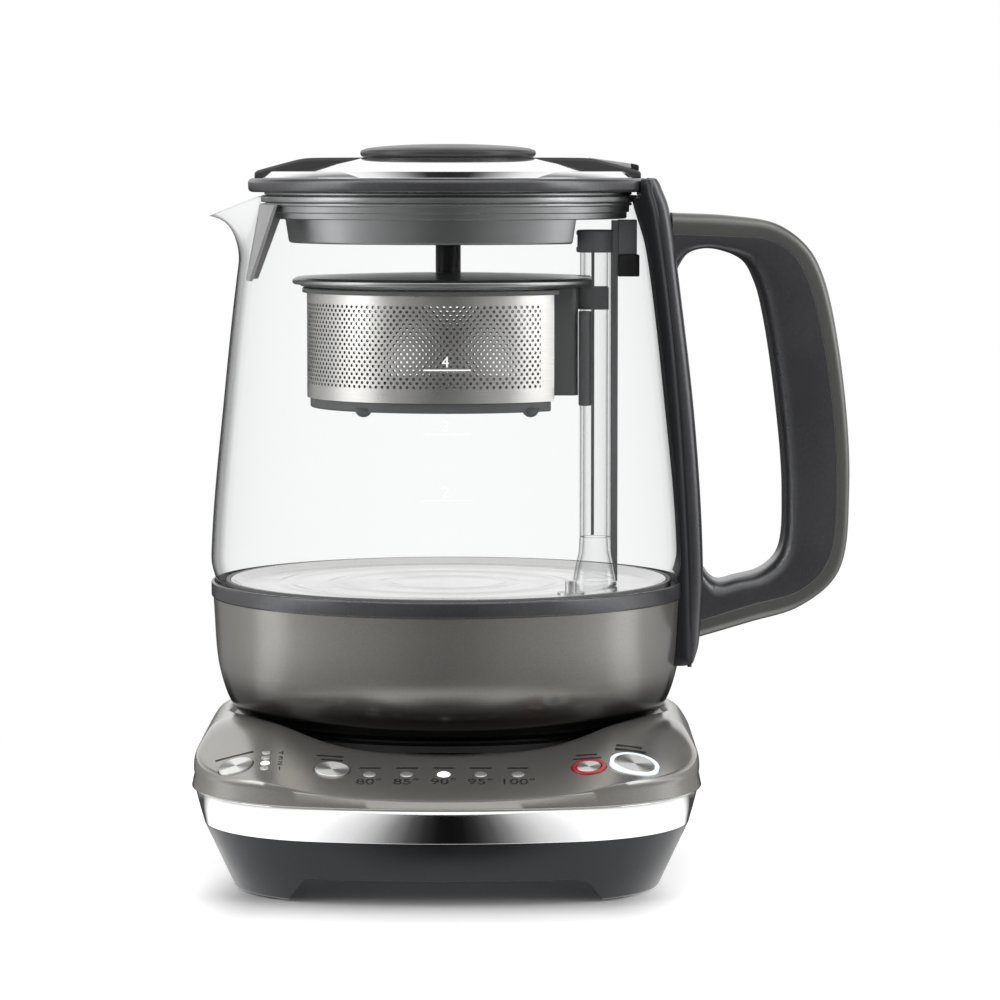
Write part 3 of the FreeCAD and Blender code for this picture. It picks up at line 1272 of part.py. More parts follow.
@piece
def basket_cover():
    """Cover of the basket, slightly domed, with a slot for the riser."""
    z = BASKET_TOP
    edge = z + BASKET_COVER_HEIGHT - BASKET_COVER_DOME
    crown = [(BASKET_COVER_RADIUS, edge), (BASKET_COVER_RADIUS / 2, edge + 0.75 * BASKET_COVER_DOME),
             (0.0, edge + BASKET_COVER_DOME)]
    cover = turned([(0, z), (BASKET_COVER_RADIUS - 1.0, z)], crown)
    cut = RISER_X - BASKET_COVER_CUT
    cover = cover.cut(box(cut, 2 * cut, -2 * cut, 2 * cut, z - 1, z + 2 * BASKET_COVER_HEIGHT))
    return cover.cut(riser_notch(z - 1, z + 2 * BASKET_COVER_HEIGHT))


# ---------------------------------------------------------------- basket
RIM_BOTTOM = BASKET_TOP - BASKET_RIM_HEIGHT
RING_BOTTOM = BASKET_BOTTOM - BASKET_RING_HEIGHT


@piece
def basket_rim():
    """Grey rim of the basket, under its cover."""
    z1 = BASKET_TOP - MOVING_GAP
    lip = dee(BASKET_RADIUS + BASKET_RIM_WIDTH, BASKET_FLAT + 0.6, RIM_BOTTOM, z1)
    inner = dee(BASKET_RADIUS - BASKET_RIM_DEPTH, BASKET_FLAT - BASKET_RIM_DEPTH, RIM_BOTTOM - 1, z1 + 1)
    return lip.cut(inner)


@piece
def basket_wall():
    """Steel wall of the basket."""
    outer = dee(BASKET_RADIUS, BASKET_FLAT, BASKET_BOTTOM, RIM_BOTTOM)
    return outer.cut(dee(BASKET_RADIUS - BASKET_WALL, BASKET_FLAT - BASKET_WALL, BASKET_BOTTOM - 1, RIM_BOTTOM + 1))


@piece
def basket_floor():
    """Steel floor of the basket with drain holes."""
    floor = dee(BASKET_RADIUS, BASKET_FLAT, BASKET_BOTTOM - BASKET_FLOOR, BASKET_BOTTOM)
    for i in range(DRAIN_HOLES):
        angle = 2 * math.pi * i / DRAIN_HOLES
        x, y = DRAIN_CIRCLE * math.cos(angle), DRAIN_CIRCLE * math.sin(angle)
        floor = floor.cut(cylinder(DRAIN_HOLE_RADIUS, 0, ABOVE_ALL, x, y))
    return floor


@piece
def basket_ring():
    """Grey ring under the basket, with four feet."""
    outer = dee(BASKET_RADIUS - BASKET_RING_INSET, BASKET_FLAT, RING_BOTTOM, BASKET_BOTTOM - BASKET_FLOOR)
    inset = BASKET_RING_INSET + BASKET_RING_WALL
    base = outer.cut(dee(BASKET_RADIUS - inset, BASKET_FLAT - BASKET_RING_WALL, 0, ABOVE_ALL))
    for sx in (-1, 1):
        for sy in (-1, 1):
            reach = BASKET_RADIUS - BASKET_RING_INSET - BASKET_RING_WALL / 2
            y = sy * math.sqrt(reach ** 2 - BASKET_FOOT_REACH ** 2)
            foot = Part.makeSphere(BASKET_FOOT_RADIUS, Vector(sx * BASKET_FOOT_REACH, y, RING_BOTTOM + 1.1))
            foot = foot.cut(cylinder(2 * BASKET_FOOT_RADIUS, RING_BOTTOM + 0.5, ABOVE_ALL, sx * BASKET_FOOT_REACH, y))
            base = base.fuse(foot)
    return base


@piece
def basket_column():
    """Hollow grey column on the basket's flat side, with a groove for the riser."""
    z0 = RIM_BOTTOM - COLUMN_HEIGHT
    x0, x1 = BASKET_FLAT, BASKET_FLAT + COLUMN_DEPTH
    column = box(x0, x1, -COLUMN_HALF_WIDTH, COLUMN_HALF_WIDTH, z0, RIM_BOTTOM)
    column = rounded(column, 2.5, lambda e: abs(e.BoundBox.XMin - x1) < 0.01 and abs(e.BoundBox.XMax - x1) < 0.01 and
                     e.BoundBox.ZLength > 1)
    return column.cut(riser_notch(0, ABOVE_ALL))


@piece
def siphon_tube():
    """Thin tube beside the column that drains the brewed tea."""
    x = BASKET_FLAT + COLUMN_DEPTH + SIPHON_RADIUS
    z0 = RING_BOTTOM + SIPHON_LOW
    return ring(SIPHON_RADIUS, SIPHON_BORE, z0, z0 + SIPHON_LENGTH, x, SIPHON_Y)


@piece
def riser_guide():
    """Open clip that slides along the riser."""
    z1 = RIM_BOTTOM + BASKET_RIM_HEIGHT - MOVING_GAP
    z0 = z1 - GUIDE_HEIGHT
    outer = cylinder(RISER_CAP_RADIUS + MOVING_GAP + GUIDE_WALL, z0, z1, RISER_X)
    clip = outer.cut(riser_notch(z0 - 1, z1 + 1))
    clip = clip.cut(box(RISER_X + 4.0, 3 * RISER_X, -20, 20, z0 - 1, z1 + 1))
    column = box(0, BASKET_FLAT + COLUMN_DEPTH, -COLUMN_HALF_WIDTH, COLUMN_HALF_WIDTH, 0, RIM_BOTTOM)
    rim = dee(BASKET_RADIUS + BASKET_RIM_WIDTH, BASKET_FLAT + 0.6, 0, ABOVE_ALL)
    return clip.cut(column).cut(rim)


def main():
    """Make every piece and write it to its own file."""
    os.makedirs("parts", exist_ok=True)
    for name, make in PIECES.items():
        make().exportStep(os.path.join("parts", name + ".step"))


main()
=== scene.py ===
"""Dressed model of an automatic tea maker: power base, glass jug, lid and brewing basket.

Sizes are in millimetres and become metres when a mesh is made. The origin is on the jug's axis in
the plane of the feet, +Z is up, -Y is the front and +X is the handle. Each sub-assembly is a class
that builds its pieces, dresses them and sets them on the body that they move with.
"""
import logging
import math
from collections.abc import Callable, Sequence
from dataclasses import dataclass
from enum import Enum
from functools import reduce

import bmesh
import bpy
from mathutils import Matrix, Vector


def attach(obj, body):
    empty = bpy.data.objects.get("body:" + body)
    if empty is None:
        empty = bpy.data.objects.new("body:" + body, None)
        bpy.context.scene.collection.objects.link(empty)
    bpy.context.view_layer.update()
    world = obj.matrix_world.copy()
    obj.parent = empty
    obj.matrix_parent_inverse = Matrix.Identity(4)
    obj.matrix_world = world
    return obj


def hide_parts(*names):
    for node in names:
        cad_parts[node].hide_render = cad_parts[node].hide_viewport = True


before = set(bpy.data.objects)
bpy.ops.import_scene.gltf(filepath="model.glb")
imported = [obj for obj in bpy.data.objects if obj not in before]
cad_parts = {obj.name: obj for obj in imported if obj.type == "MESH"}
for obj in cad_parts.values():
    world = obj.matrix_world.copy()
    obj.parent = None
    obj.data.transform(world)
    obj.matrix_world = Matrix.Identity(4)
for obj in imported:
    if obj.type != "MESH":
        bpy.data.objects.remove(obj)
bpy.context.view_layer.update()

log = logging.getLogger("tea_maker")

MM = 0.001
WHITE = (1.0, 1.0, 1.0, 1.0)
WEAR_MM = 22.0          # size of the patches in which a finish is a little rougher
BUMP_STRENGTH = 0.5
Point = tuple[float, float]
Point3 = tuple[float, float, float]
Colour = tuple[float, float, float]
Faces = list[tuple[int, ...]]
Piece = bpy.types.Object
Socket = bpy.types.NodeSocket
Placing = Callable[[float, float, float], Point3]


class Body(Enum):
    """The moving bodies that pieces ride on."""

    BASE = "power_base"
    JUG = "jug"
    LID = "lid"
    BASKET = "tea_basket"
    STRENGTH = "strength_button"
    TEMPERATURE = "temperature_button"
    KEEP_WARM = "keep_warm_button"
    START = "start_button"


class Along(Enum):
    """Axes along which an outline is pushed."""

    X = 0
    Y = 1
    Z = 2


class Pattern(Enum):
    """Kinds of fine surface pattern."""

    GRAIN = "grain"
    BRUSHED_ROUND = "brushed_round"
    TURNED = "turned"
    FLAKE = "flake"


# ------------------------------------------------------------------------------------ finishes
def add_node(tree: bpy.types.NodeTree, kind: str, *sources: object, **settings: object) -> bpy.types.Node:
    """Adds a node, sets its attributes and fills its first inputs in order.

    Args:
        tree: Tree that gets the node.
        kind: Full type of the node.
        sources: Sockets to link or values to set; None leaves an input alone.
        settings: Attributes of the node.

    Returns:
        The new node.
    """
    node = tree.nodes.new(kind)
    for key, value in settings.items():
        setattr(node, key, value)
    for socket, source in zip([s for s in node.inputs if s.enabled], sources):
        if isinstance(source, Socket):
            tree.links.new(source, socket)
        elif source is not None:
            socket.default_value = source
    return node


class Shader:
    """Small helper that adds nodes to one material or world."""

    def __init__(self, owner: bpy.types.Material | bpy.types.World) -> None:
        """Starts an empty node tree.

        Args:
            owner: The material or world.
        """
        owner.use_nodes = True
        self.owner = owner
        self.tree = owner.node_tree
        self.tree.nodes.clear()

    def node(self, kind: str, *sources: object, **settings: object) -> bpy.types.Node:
        """Adds a node, its type without the ShaderNode prefix."""
        return add_node(self.tree, "ShaderNode" + kind, *sources, **settings)

    def value(self, kind: str, *sources: object, **settings: object) -> Socket:
        """Adds a node and gives its first output."""
        return self.node(kind, *sources, **settings).outputs[0]

    def math(self, operation: str, *sources: object) -> Socket:
        """Adds a step of arithmetic."""
        return self.value("Math", *sources, operation=operation)

    def surface(self, **values: object) -> Socket:
        """Adds a principled surface.

        Args:
            values: Names of its sockets, with underscores for spaces, and their values or sources.

        Returns:
            The surface.
        """
        node = self.node("BsdfPrincipled")
        for key, value in values.items():
            socket = node.inputs[key.replace("_", " ")]
            if isinstance(value, Socket):
                self.tree.links.new(value, socket)
            else:
                socket.default_value = value
        return node.outputs[0]

    def shown(self, surface: Socket) -> bpy.types.Material | bpy.types.World:
        """Shows a surface as the tree's result and gives the material or world."""
        kind = "OutputWorld" if isinstance(self.owner, bpy.types.World) else "OutputMaterial"
        self.node(kind, surface)
        return self.owner

    def coordinates(self, centre: Point3 = (0.0, 0.0, 0.0), scale: Point3 = (1.0, 1.0, 1.0)) -> Socket:
        """Object coordinates about a centre in metres, stretched along each axis."""
        place = self.value("Mapping", self.node("TexCoord").outputs["Object"], centre,
                           vector_type="TEXTURE")
        return self.value("VectorMath", place, scale, operation="MULTIPLY")

    def parts(self, vector: Socket) -> tuple[Socket, Socket, Socket]:
        """The X, Y and Z of a vector."""
        return tuple(self.node("SeparateXYZ", vector).outputs)

    def length(self, vector: Socket) -> Socket:
        """The length of a vector."""
        return self.node("VectorMath", vector, operation="LENGTH").outputs["Value"]

    def noise(self, vector: Socket, scale: float, detail: float = 3.0) -> Socket:
        """Adds a noise pattern.

        Args:
            vector: Where the pattern is read.
            scale: How many grains there are in a metre.
            detail: How fine its smallest grains are.

        Returns:
            A value between 0 and 1.
        """
        node = self.node("TexNoise", vector)
        node.inputs["Scale"].default_value = scale
        node.inputs["Detail"].default_value = detail
        return node.outputs["Fac"]

    def spread(self, value: Socket, low: float, high: float, start: float = 0.3, end: float = 0.7,
               **settings: object) -> Socket:
        """Maps a value from start..end to low..high."""
        return self.value("MapRange", value, start, end, low, high, **settings)

    def ramp(self, value: Socket, stops: Sequence[Point]) -> Socket:
        """Adds a grey ramp.

        Args:
            value: Socket between 0 and 1.
            stops: Places between 0 and 1 with the brightness of each.

        Returns:
            The grey.
        """
        node = self.node("ValToRGB", value)
        elements = node.color_ramp.elements
        while len(elements) < len(stops):
            elements.new(0.5)
        for element, (place, grey) in zip(elements, stops):
            element.position = place
            element.color = (grey, grey, grey, 1.0)
        return node.outputs[0]

    def ramp_mm(self, value: Socket, stops: Sequence[Point]) -> Socket:
        """Grey ramp over a distance in metres, whose stops are in millimetres."""
        first, last = stops[0][0], stops[-1][0]
        share = self.spread(value, 0.0, 1.0, first * MM, last * MM)
        return self.ramp(share, [((place - first) / (last - first), grey) for place, grey in stops])

    def mix(self, factor: Socket | float, first: object, second: object, **settings: object) -> Socket:
        """Mixes two colours, or two sockets of colour, by a factor."""
        return self.node("Mix", factor, first, second, data_type="RGBA", **settings).outputs[2]

    def around(self, vector: Socket) -> Socket:
        """How far a vector points away from the front, 0 in front and 1 behind."""
        x, y, _ = self.parts(vector)
        turn = self.math("ABSOLUTE", self.math("ARCTAN2", x, self.math("MULTIPLY", y, -1.0)))
        return self.spread(turn, 0.0, 1.0, 0.0, math.pi)

    def glow(self, colour: Socket | float, strength: Socket | float = 1.0) -> Socket:
        """Emission of a colour, or of a grey."""
        shown = colour if isinstance(colour, Socket) else (colour, colour, colour, 1.0)
        return self.value("Emission", shown, strength)

    def bump(self, height: Socket, strength: float, distance: float) -> Socket:
        """Bumped normal from a height between 0 and 1, over a distance in millimetres."""
        node = self.node("Bump", strength, distance * MM)
        self.tree.links.new(height, node.inputs["Height"])
        return node.outputs["Normal"]


def shade(colour: Colour, factor: float) -> tuple[float, float, float, float]:
    """A colour made darker or lighter, and opaque."""
    return (*[min(1.0, channel * factor) for channel in colour], 1.0)


@dataclass(frozen=True)
class Finish:
    """One surface finish, whose fine pattern drives its colour, roughness and bump."""

    name: str
    colour: Colour
    roughness: float
    metallic: float = 0.0
    pattern: Pattern = Pattern.GRAIN
    pattern_mm: float = 0.5
    colour_spread: float = 0.06
    roughness_spread: float = 0.06
    bump_mm: float = 0.01
    coat: float = 0.0
    specular: float = 0.5
    glow: float = 0.0
    # Heights in millimetres and greys of a painted shade that darkens the colour by height.
    painted_shade_by_height: tuple[Point, ...] = ()

    def height(self, shader: Shader) -> Socket:
        """The pattern's height.

        Args:
            shader: Material being made.

        Returns:
            A value between 0 and 1.
        """
        scale = 1.0 / (self.pattern_mm * MM)
        if self.pattern is Pattern.BRUSHED_ROUND:
            return shader.noise(shader.coordinates(scale=(0.03, 0.03, 1.0)), scale, 2.0)
        if self.pattern is Pattern.TURNED:
            reach = shader.length(shader.coordinates(scale=(1.0, 1.0, 0.0)))
            return shader.noise(shader.value("CombineXYZ", reach), scale, 2.0)
        if self.pattern is Pattern.FLAKE:
            cells = shader.node("TexVoronoi", shader.coordinates())
            cells.inputs["Scale"].default_value = scale
            return shader.spread(cells.outputs["Distance"], 0.0, 1.0, 0.0, 0.8)
        return shader.noise(shader.coordinates(), scale)

    def build(self) -> bpy.types.Material:
        """Makes the material, darker towards the bottom where it has painted shade by height: a painted
        reflection of a dark base below.

        Returns:
            The material.
        """
        shader = Shader(bpy.data.materials.new(self.name))
        height = self.height(shader)
        low = shade(self.colour, 1.0 - self.colour_spread)
        high = shade(self.colour, 1.0 + self.colour_spread)
        wear = shader.noise(shader.coordinates(), 1.0 / (WEAR_MM * MM), 4.0)
        colour = shader.mix(shader.spread(height, 0.0, 1.0), low, high)
        # Painted shade: the colour is multiplied by a grey that darkens towards the bottom, a painted
        # reflection of a dark base below.
        if self.painted_shade_by_height:
            level = shader.ramp_mm(shader.parts(shader.coordinates())[2], self.painted_shade_by_height)
            colour = shader.mix(1.0, colour, level, blend_type="MULTIPLY")
        rough = shader.spread(wear, self.roughness - self.roughness_spread,
                              self.roughness + self.roughness_spread)
        # Emission: the light of lamps and lit rings; on the seam strip and the white ink it is painted glow.
        lit = {"Emission_Color": (*self.colour, 1.0), "Emission_Strength": self.glow} if self.glow else {}
        return shader.shown(shader.surface(
            Metallic=self.metallic, IOR=1.5, Specular_IOR_Level=self.specular, Coat_Weight=self.coat,
            Coat_Roughness=0.12, Base_Color=colour, Roughness=rough,
            Normal=shader.bump(height, BUMP_STRENGTH, self.bump_mm), **lit))


@dataclass(frozen=True)
class ClearFinish:
    """Clear glass or plastic: see-through face on, darker and shinier towards its edges."""

    name: str
    tint: Colour = (0.995, 0.997, 0.997)
    edge: Colour = (0.030, 0.031, 0.032)
    stops: tuple[Point, ...] = ((0.0, 0.010), (0.38, 0.022), (0.60, 0.05), (0.66, 0.09), (0.70, 0.21),
                                (0.74, 0.34), (0.82, 0.50), (0.87, 0.72), (0.93, 0.90), (1.0, 0.96))

    def build(self) -> bpy.types.Material:
        """Makes the material."""
        shader = Shader(bpy.data.materials.new(self.name))
        clear = shader.value("BsdfTransparent", (*self.tint, 1.0))
        dark = shader.surface(Base_Color=(*self.edge, 1.0), Roughness=0.05, IOR=1.5, Specular_IOR_Level=0.6)
        facing = shader.node("LayerWeight", 0.5).outputs["Facing"]
        return shader.shown(shader.value("MixShader", shader.ramp(facing, self.stops), clear, dark))


@dataclass(frozen=True)
class SpunFinish:
    """Metal turned about a centre, with painted dark reflection wedges that fan out from it in its colour;
    the mesh has a polar UV map.
    """

    name: str
    colour: Colour = (0.92, 0.92, 0.91)
    roughness: float = 0.3
    painted_wedge_turn: float = 0.42

    def build(self) -> bpy.types.Material:
        """Makes the material."""
        shader = Shader(bpy.data.materials.new(self.name))
        angle, reach, _ = shader.parts(shader.value("UVMap", uv_map="polar"))
        marks = shader.noise(shader.value("CombineXYZ", reach), 60.0, 2.0)
        # Painted reflection: the colour darkens in wedges by angle about the centre, standing in for the dark
        # sectors that spun metal mirrors.
        turn = shader.math("MULTIPLY_ADD", angle, math.tau, self.painted_wedge_turn)
        wedge = shader.spread(shader.math("ABSOLUTE", shader.math("COSINE", turn)), 0.0, 1.0, 0.62, 0.97)
        return shader.shown(shader.surface(
            Metallic=0.25, Base_Color=shader.mix(wedge, (*self.colour, 1.0), shade(self.colour, 0.22)),
            Roughness=shader.spread(marks, self.roughness - 0.05, self.roughness + 0.05),
            Normal=shader.bump(marks, 0.3, 0.01)))


AnyFinish = Finish | ClearFinish | SpunFinish


CHARCOAL = Finish("charcoal_plastic", (0.120, 0.121, 0.127), 0.30, metallic=0.80, pattern_mm=1.2,
                  bump_mm=0.004)
KNOB_PLASTIC = Finish("knob_plastic", (0.050, 0.050, 0.052), 0.36, metallic=0.15, pattern_mm=0.35,
                      bump_mm=0.008)
HOUSING_PLASTIC = Finish("housing_plastic", (0.034, 0.035, 0.038), 0.34, metallic=0.72, pattern_mm=0.4,
                         bump_mm=0.010, specular=0.25)
GREY_PLASTIC = Finish("grey_plastic", (0.105, 0.108, 0.110), 0.40, pattern_mm=0.4, bump_mm=0.01)
SATIN_GREY = Finish("satin_grey", (0.400, 0.404, 0.408), 0.32, metallic=1.0, pattern_mm=3.0,
                    colour_spread=0.03, roughness_spread=0.02, bump_mm=0.002)
# Grey plastic with a painted glow that lightens it where the riser shades it.
SEAM_PAINTED_GLOW = Finish("seam_plastic_painted_glow", (0.46, 0.47, 0.48), 0.35, pattern_mm=0.5, bump_mm=0.008, glow=0.12)
SMOKY_PLASTIC = Finish("smoky_plastic", (0.17, 0.175, 0.18), 0.35, pattern_mm=0.5, bump_mm=0.008)
BRIGHT_SATIN = Finish("bright_satin", (0.60, 0.60, 0.59), 0.34, metallic=0.30, pattern_mm=0.4,
                      bump_mm=0.002)
BLACK_PLASTIC = Finish("black_plastic", (0.012, 0.012, 0.013), 0.45, pattern_mm=0.4, bump_mm=0.012)
TRIM = Finish("trim_metal", (0.165, 0.165, 0.158), 0.34, metallic=0.70, pattern=Pattern.FLAKE,
              pattern_mm=0.25, colour_spread=0.10, roughness_spread=0.03, bump_mm=0.003)
# The foot's colour darkens towards its lower edge: painted shade for the dark base that it would mirror.
SMOKED = Finish("smoked_metal", (0.310, 0.300, 0.282), 0.20, metallic=0.70, pattern=Pattern.FLAKE,
                pattern_mm=0.25, colour_spread=0.12, roughness_spread=0.03, bump_mm=0.003, coat=0.1,
                painted_shade_by_height=((53.5, 0.02), (56.0, 0.12), (58.5, 0.36), (61.0, 0.72), (64.0, 1.0)))
PANEL = Finish("panel_metal", (0.335, 0.325, 0.305), 0.22, metallic=0.68, pattern=Pattern.FLAKE,
               pattern_mm=0.25, colour_spread=0.12, roughness_spread=0.03, bump_mm=0.003, coat=0.2)
CHROME = Finish("chrome", (0.86, 0.86, 0.87), 0.06, metallic=1.0, pattern_mm=3.0, colour_spread=0.01,
                roughness_spread=0.02, bump_mm=0.0005)
STEEL = Finish("brushed_steel", (0.70, 0.69, 0.67), 0.30, metallic=1.0, pattern=Pattern.BRUSHED_ROUND,
               pattern_mm=0.25, colour_spread=0.05, bump_mm=0.003)
POLISHED = Finish("polished_floor", (0.60, 0.60, 0.59), 0.16, metallic=1.0, pattern=Pattern.TURNED,
                  pattern_mm=0.4, colour_spread=0.04, bump_mm=0.003)
SCREW_STEEL = Finish("screw_steel", (0.60, 0.60, 0.60), 0.35, metallic=1.0, pattern_mm=0.6)
ALUMINIUM = Finish("aluminium", (0.72, 0.72, 0.73), 0.38, metallic=1.0, pattern=Pattern.TURNED,
                   pattern_mm=0.4)
BRASS = Finish("brass", (0.75, 0.55, 0.24), 0.25, metallic=1.0, pattern=Pattern.BRUSHED_ROUND,
               pattern_mm=0.3)
RUBBER = Finish("rubber", (0.018, 0.018, 0.018), 0.75, pattern_mm=0.3, bump_mm=0.03)
SILICONE = Finish("silicone", (0.26, 0.26, 0.26), 0.5, pattern_mm=0.6)
BOARD = Finish("circuit_board", (0.03, 0.13, 0.06), 0.4, pattern_mm=2.5, colour_spread=0.3)
COMPONENT = Finish("component", (0.05, 0.05, 0.06), 0.45, pattern_mm=0.5)
LAMP_OFF = Finish("lamp_off", (0.62, 0.62, 0.60), 0.22, metallic=0.6, pattern_mm=0.4)
LAMP_ON = Finish("lamp_on", (0.95, 0.97, 1.0), 0.3, pattern_mm=0.6, colour_spread=0.01, glow=0.9)
RED_LENS = Finish("red_lens", (0.46, 0.012, 0.022), 0.18, pattern_mm=0.8, coat=0.4, glow=0.15)
WHITE_LENS = Finish("white_lens", (0.80, 0.90, 0.97), 0.25, pattern_mm=0.8, colour_spread=0.02, glow=0.55)
DARK_INK = Finish("dark_ink", (0.010, 0.010, 0.010), 0.55, pattern_mm=0.2)
# White print with a painted glow: its emission brightens it whatever the lamps do.
WHITE_INK_PAINTED_GLOW = Finish("white_ink_painted_glow", (0.88, 0.88, 0.88), 0.6, pattern_mm=0.2, colour_spread=0.02, glow=0.35)
SPUN = SpunFinish("spun_metal")
FROSTED = Finish("frosted_plastic", (0.42, 0.42, 0.42), 0.45, pattern_mm=0.5, colour_spread=0.03)
JUG_GLASS = ClearFinish("jug_glass")
INNER_GLASS = ClearFinish("inner_glass", stops=((0.0, 0.006), (0.60, 0.02), (0.90, 0.05), (1.0, 0.10)))
TUBE_GLASS = ClearFinish("tube_glass", edge=(0.10, 0.103, 0.105), stops=(
    (0.0, 0.02), (0.35, 0.06), (0.55, 0.22), (0.75, 0.40), (0.9, 0.75), (1.0, 0.9)))


# ------------------------------------------------------------------------------------- outlines
# The plan of the base, as in its CAD source: a front, a rear, two sides and four corner arcs.
HALF_WIDTH, FRONT, REAR = 78.8, 102.0, 72.0
FRONT_ARC, REAR_ARC, CORNER_ARC = 177.0, 110.0, 50.0


def arc_points(centre: Point, radius: float, start: float, end: float, count: int) -> list[Point]:
    """Points along an arc.

    Args:
        centre: Centre of the arc.
        radius: Radius of the arc.
        start: First angle in radians.
        end: Last angle in radians.
        count: Number of steps.

    Returns:
        count + 1 points.
    """
    step = (end - start) / count
    return [(centre[0] + radius * math.cos(start + step * i), centre[1] + radius
             * math.sin(start + step * i)) for i in range(count + 1)]


def circle(steps: int) -> list[Point]:
    """Cosine and sine of equal steps round a circle."""
    return [(math.cos(math.tau * k / steps), math.sin(math.tau * k / steps)) for k in range(steps)]


def plan_spans() -> list[tuple[Point, float, float, float, int]]:
    """The plan's arcs, anticlockwise from the middle of the right side.

    Returns:
        For each arc its centre, radius, first angle, last angle and number of steps.
    """
    cx = HALF_WIDTH - CORNER_ARC
    front_y, rear_y = FRONT_ARC - FRONT, REAR - REAR_ARC
    front_cy = front_y - math.sqrt((FRONT_ARC - CORNER_ARC) ** 2 - cx ** 2)
    rear_cy = rear_y + math.sqrt((REAR_ARC - CORNER_ARC) ** 2 - cx ** 2)
    rear_angle = math.atan2(rear_cy - rear_y, cx)
    front_angle = math.atan2(front_cy - front_y, cx)
    turn = math.pi
    return [((cx, rear_cy), CORNER_ARC, 0.0, rear_angle, 22),
            ((0.0, rear_y), REAR_ARC, rear_angle, turn - rear_angle, 26),
            ((-cx, rear_cy), CORNER_ARC, turn - rear_angle, turn, 22),
            ((-cx, front_cy), CORNER_ARC, -turn, -turn - front_angle, 24),
            ((0.0, front_y), FRONT_ARC, -turn - front_angle, front_angle, 34),
            ((cx, front_cy), CORNER_ARC, front_angle, 0.0, 24)]


def plan_ring(inset: float) -> list[Point]:
    """The plan's outline moved inwards; each inset gives the same number of points."""
    ring: list[Point] = []
    for centre, radius, start, end, count in plan_spans():
        ring += arc_points(centre, radius - inset, start, end, count)
    return ring


def plan_inset(x: float, y: float) -> float:
    """How far a point lies inside the plan's outline.

    Args:
        x: X of the point.
        y: Y of the point.

    Returns:
        The distance, below 0 outside.
    """
    spans = plan_spans()
    (cx, rear_cy), front_cy = spans[0][0], spans[5][0][1]
    rear_y, front_y = spans[1][0][1], spans[4][0][1]
    side, rear_angle, front_angle = abs(x), spans[0][3], spans[5][2]
    if math.atan2(y - rear_y, side) > rear_angle and y > rear_cy:
        return REAR_ARC - math.hypot(side, y - rear_y)
    if math.atan2(y - front_y, side) < front_angle:
        return FRONT_ARC - math.hypot(side, y - front_y)
    if y > rear_cy and side > cx:
        return CORNER_ARC - math.hypot(side - cx, y - rear_cy)
    if y < front_cy and side > cx:
        return CORNER_ARC - math.hypot(side - cx, y - front_cy)
    return HALF_WIDTH - side


def filleted(corners: Sequence[Point3], steps: int = 5,
             closed: bool = True) -> list[Point]:
    """Rounds the corners of an outline.

    Args:
        corners: Points with the radius of each corner.
        steps: Steps of each rounded corner.
        closed: Whether the last point joins the first.

    Returns:
        The points of the rounded outline.
    """
    result: list[Point] = []
    count = len(corners)
    for i, (u, v, radius) in enumerate(corners):
        if radius <= 0 or (not closed and i in (0, count - 1)):
            result.append((u, v))
            continue
        here = Vector((u, v))
        before = (Vector(corners[i - 1][:2]) - here)
        after = (Vector(corners[(i + 1) % count][:2]) - here)
        half = before.angle(after) / 2
        if half > math.radians(89.0):
            result.append((u, v))
            continue
        cut = min(radius / math.tan(half), 0.49 * before.length, 0.49 * after.length)
        size = cut * math.tan(half)
        a, b = here + before.normalized() * cut, here + after.normalized() * cut
        middle = here + (before.normalized() + after.normalized()).normalized() * size / math.sin(half)
        first, last = a - middle, b - middle
        sweep = first.angle_signed(last)
        for k in range(steps + 1):
            turned = first.copy()
            turned.rotate(Matrix.Rotation(-sweep * k / steps, 2))
            result.append(tuple(middle + turned))
    return result


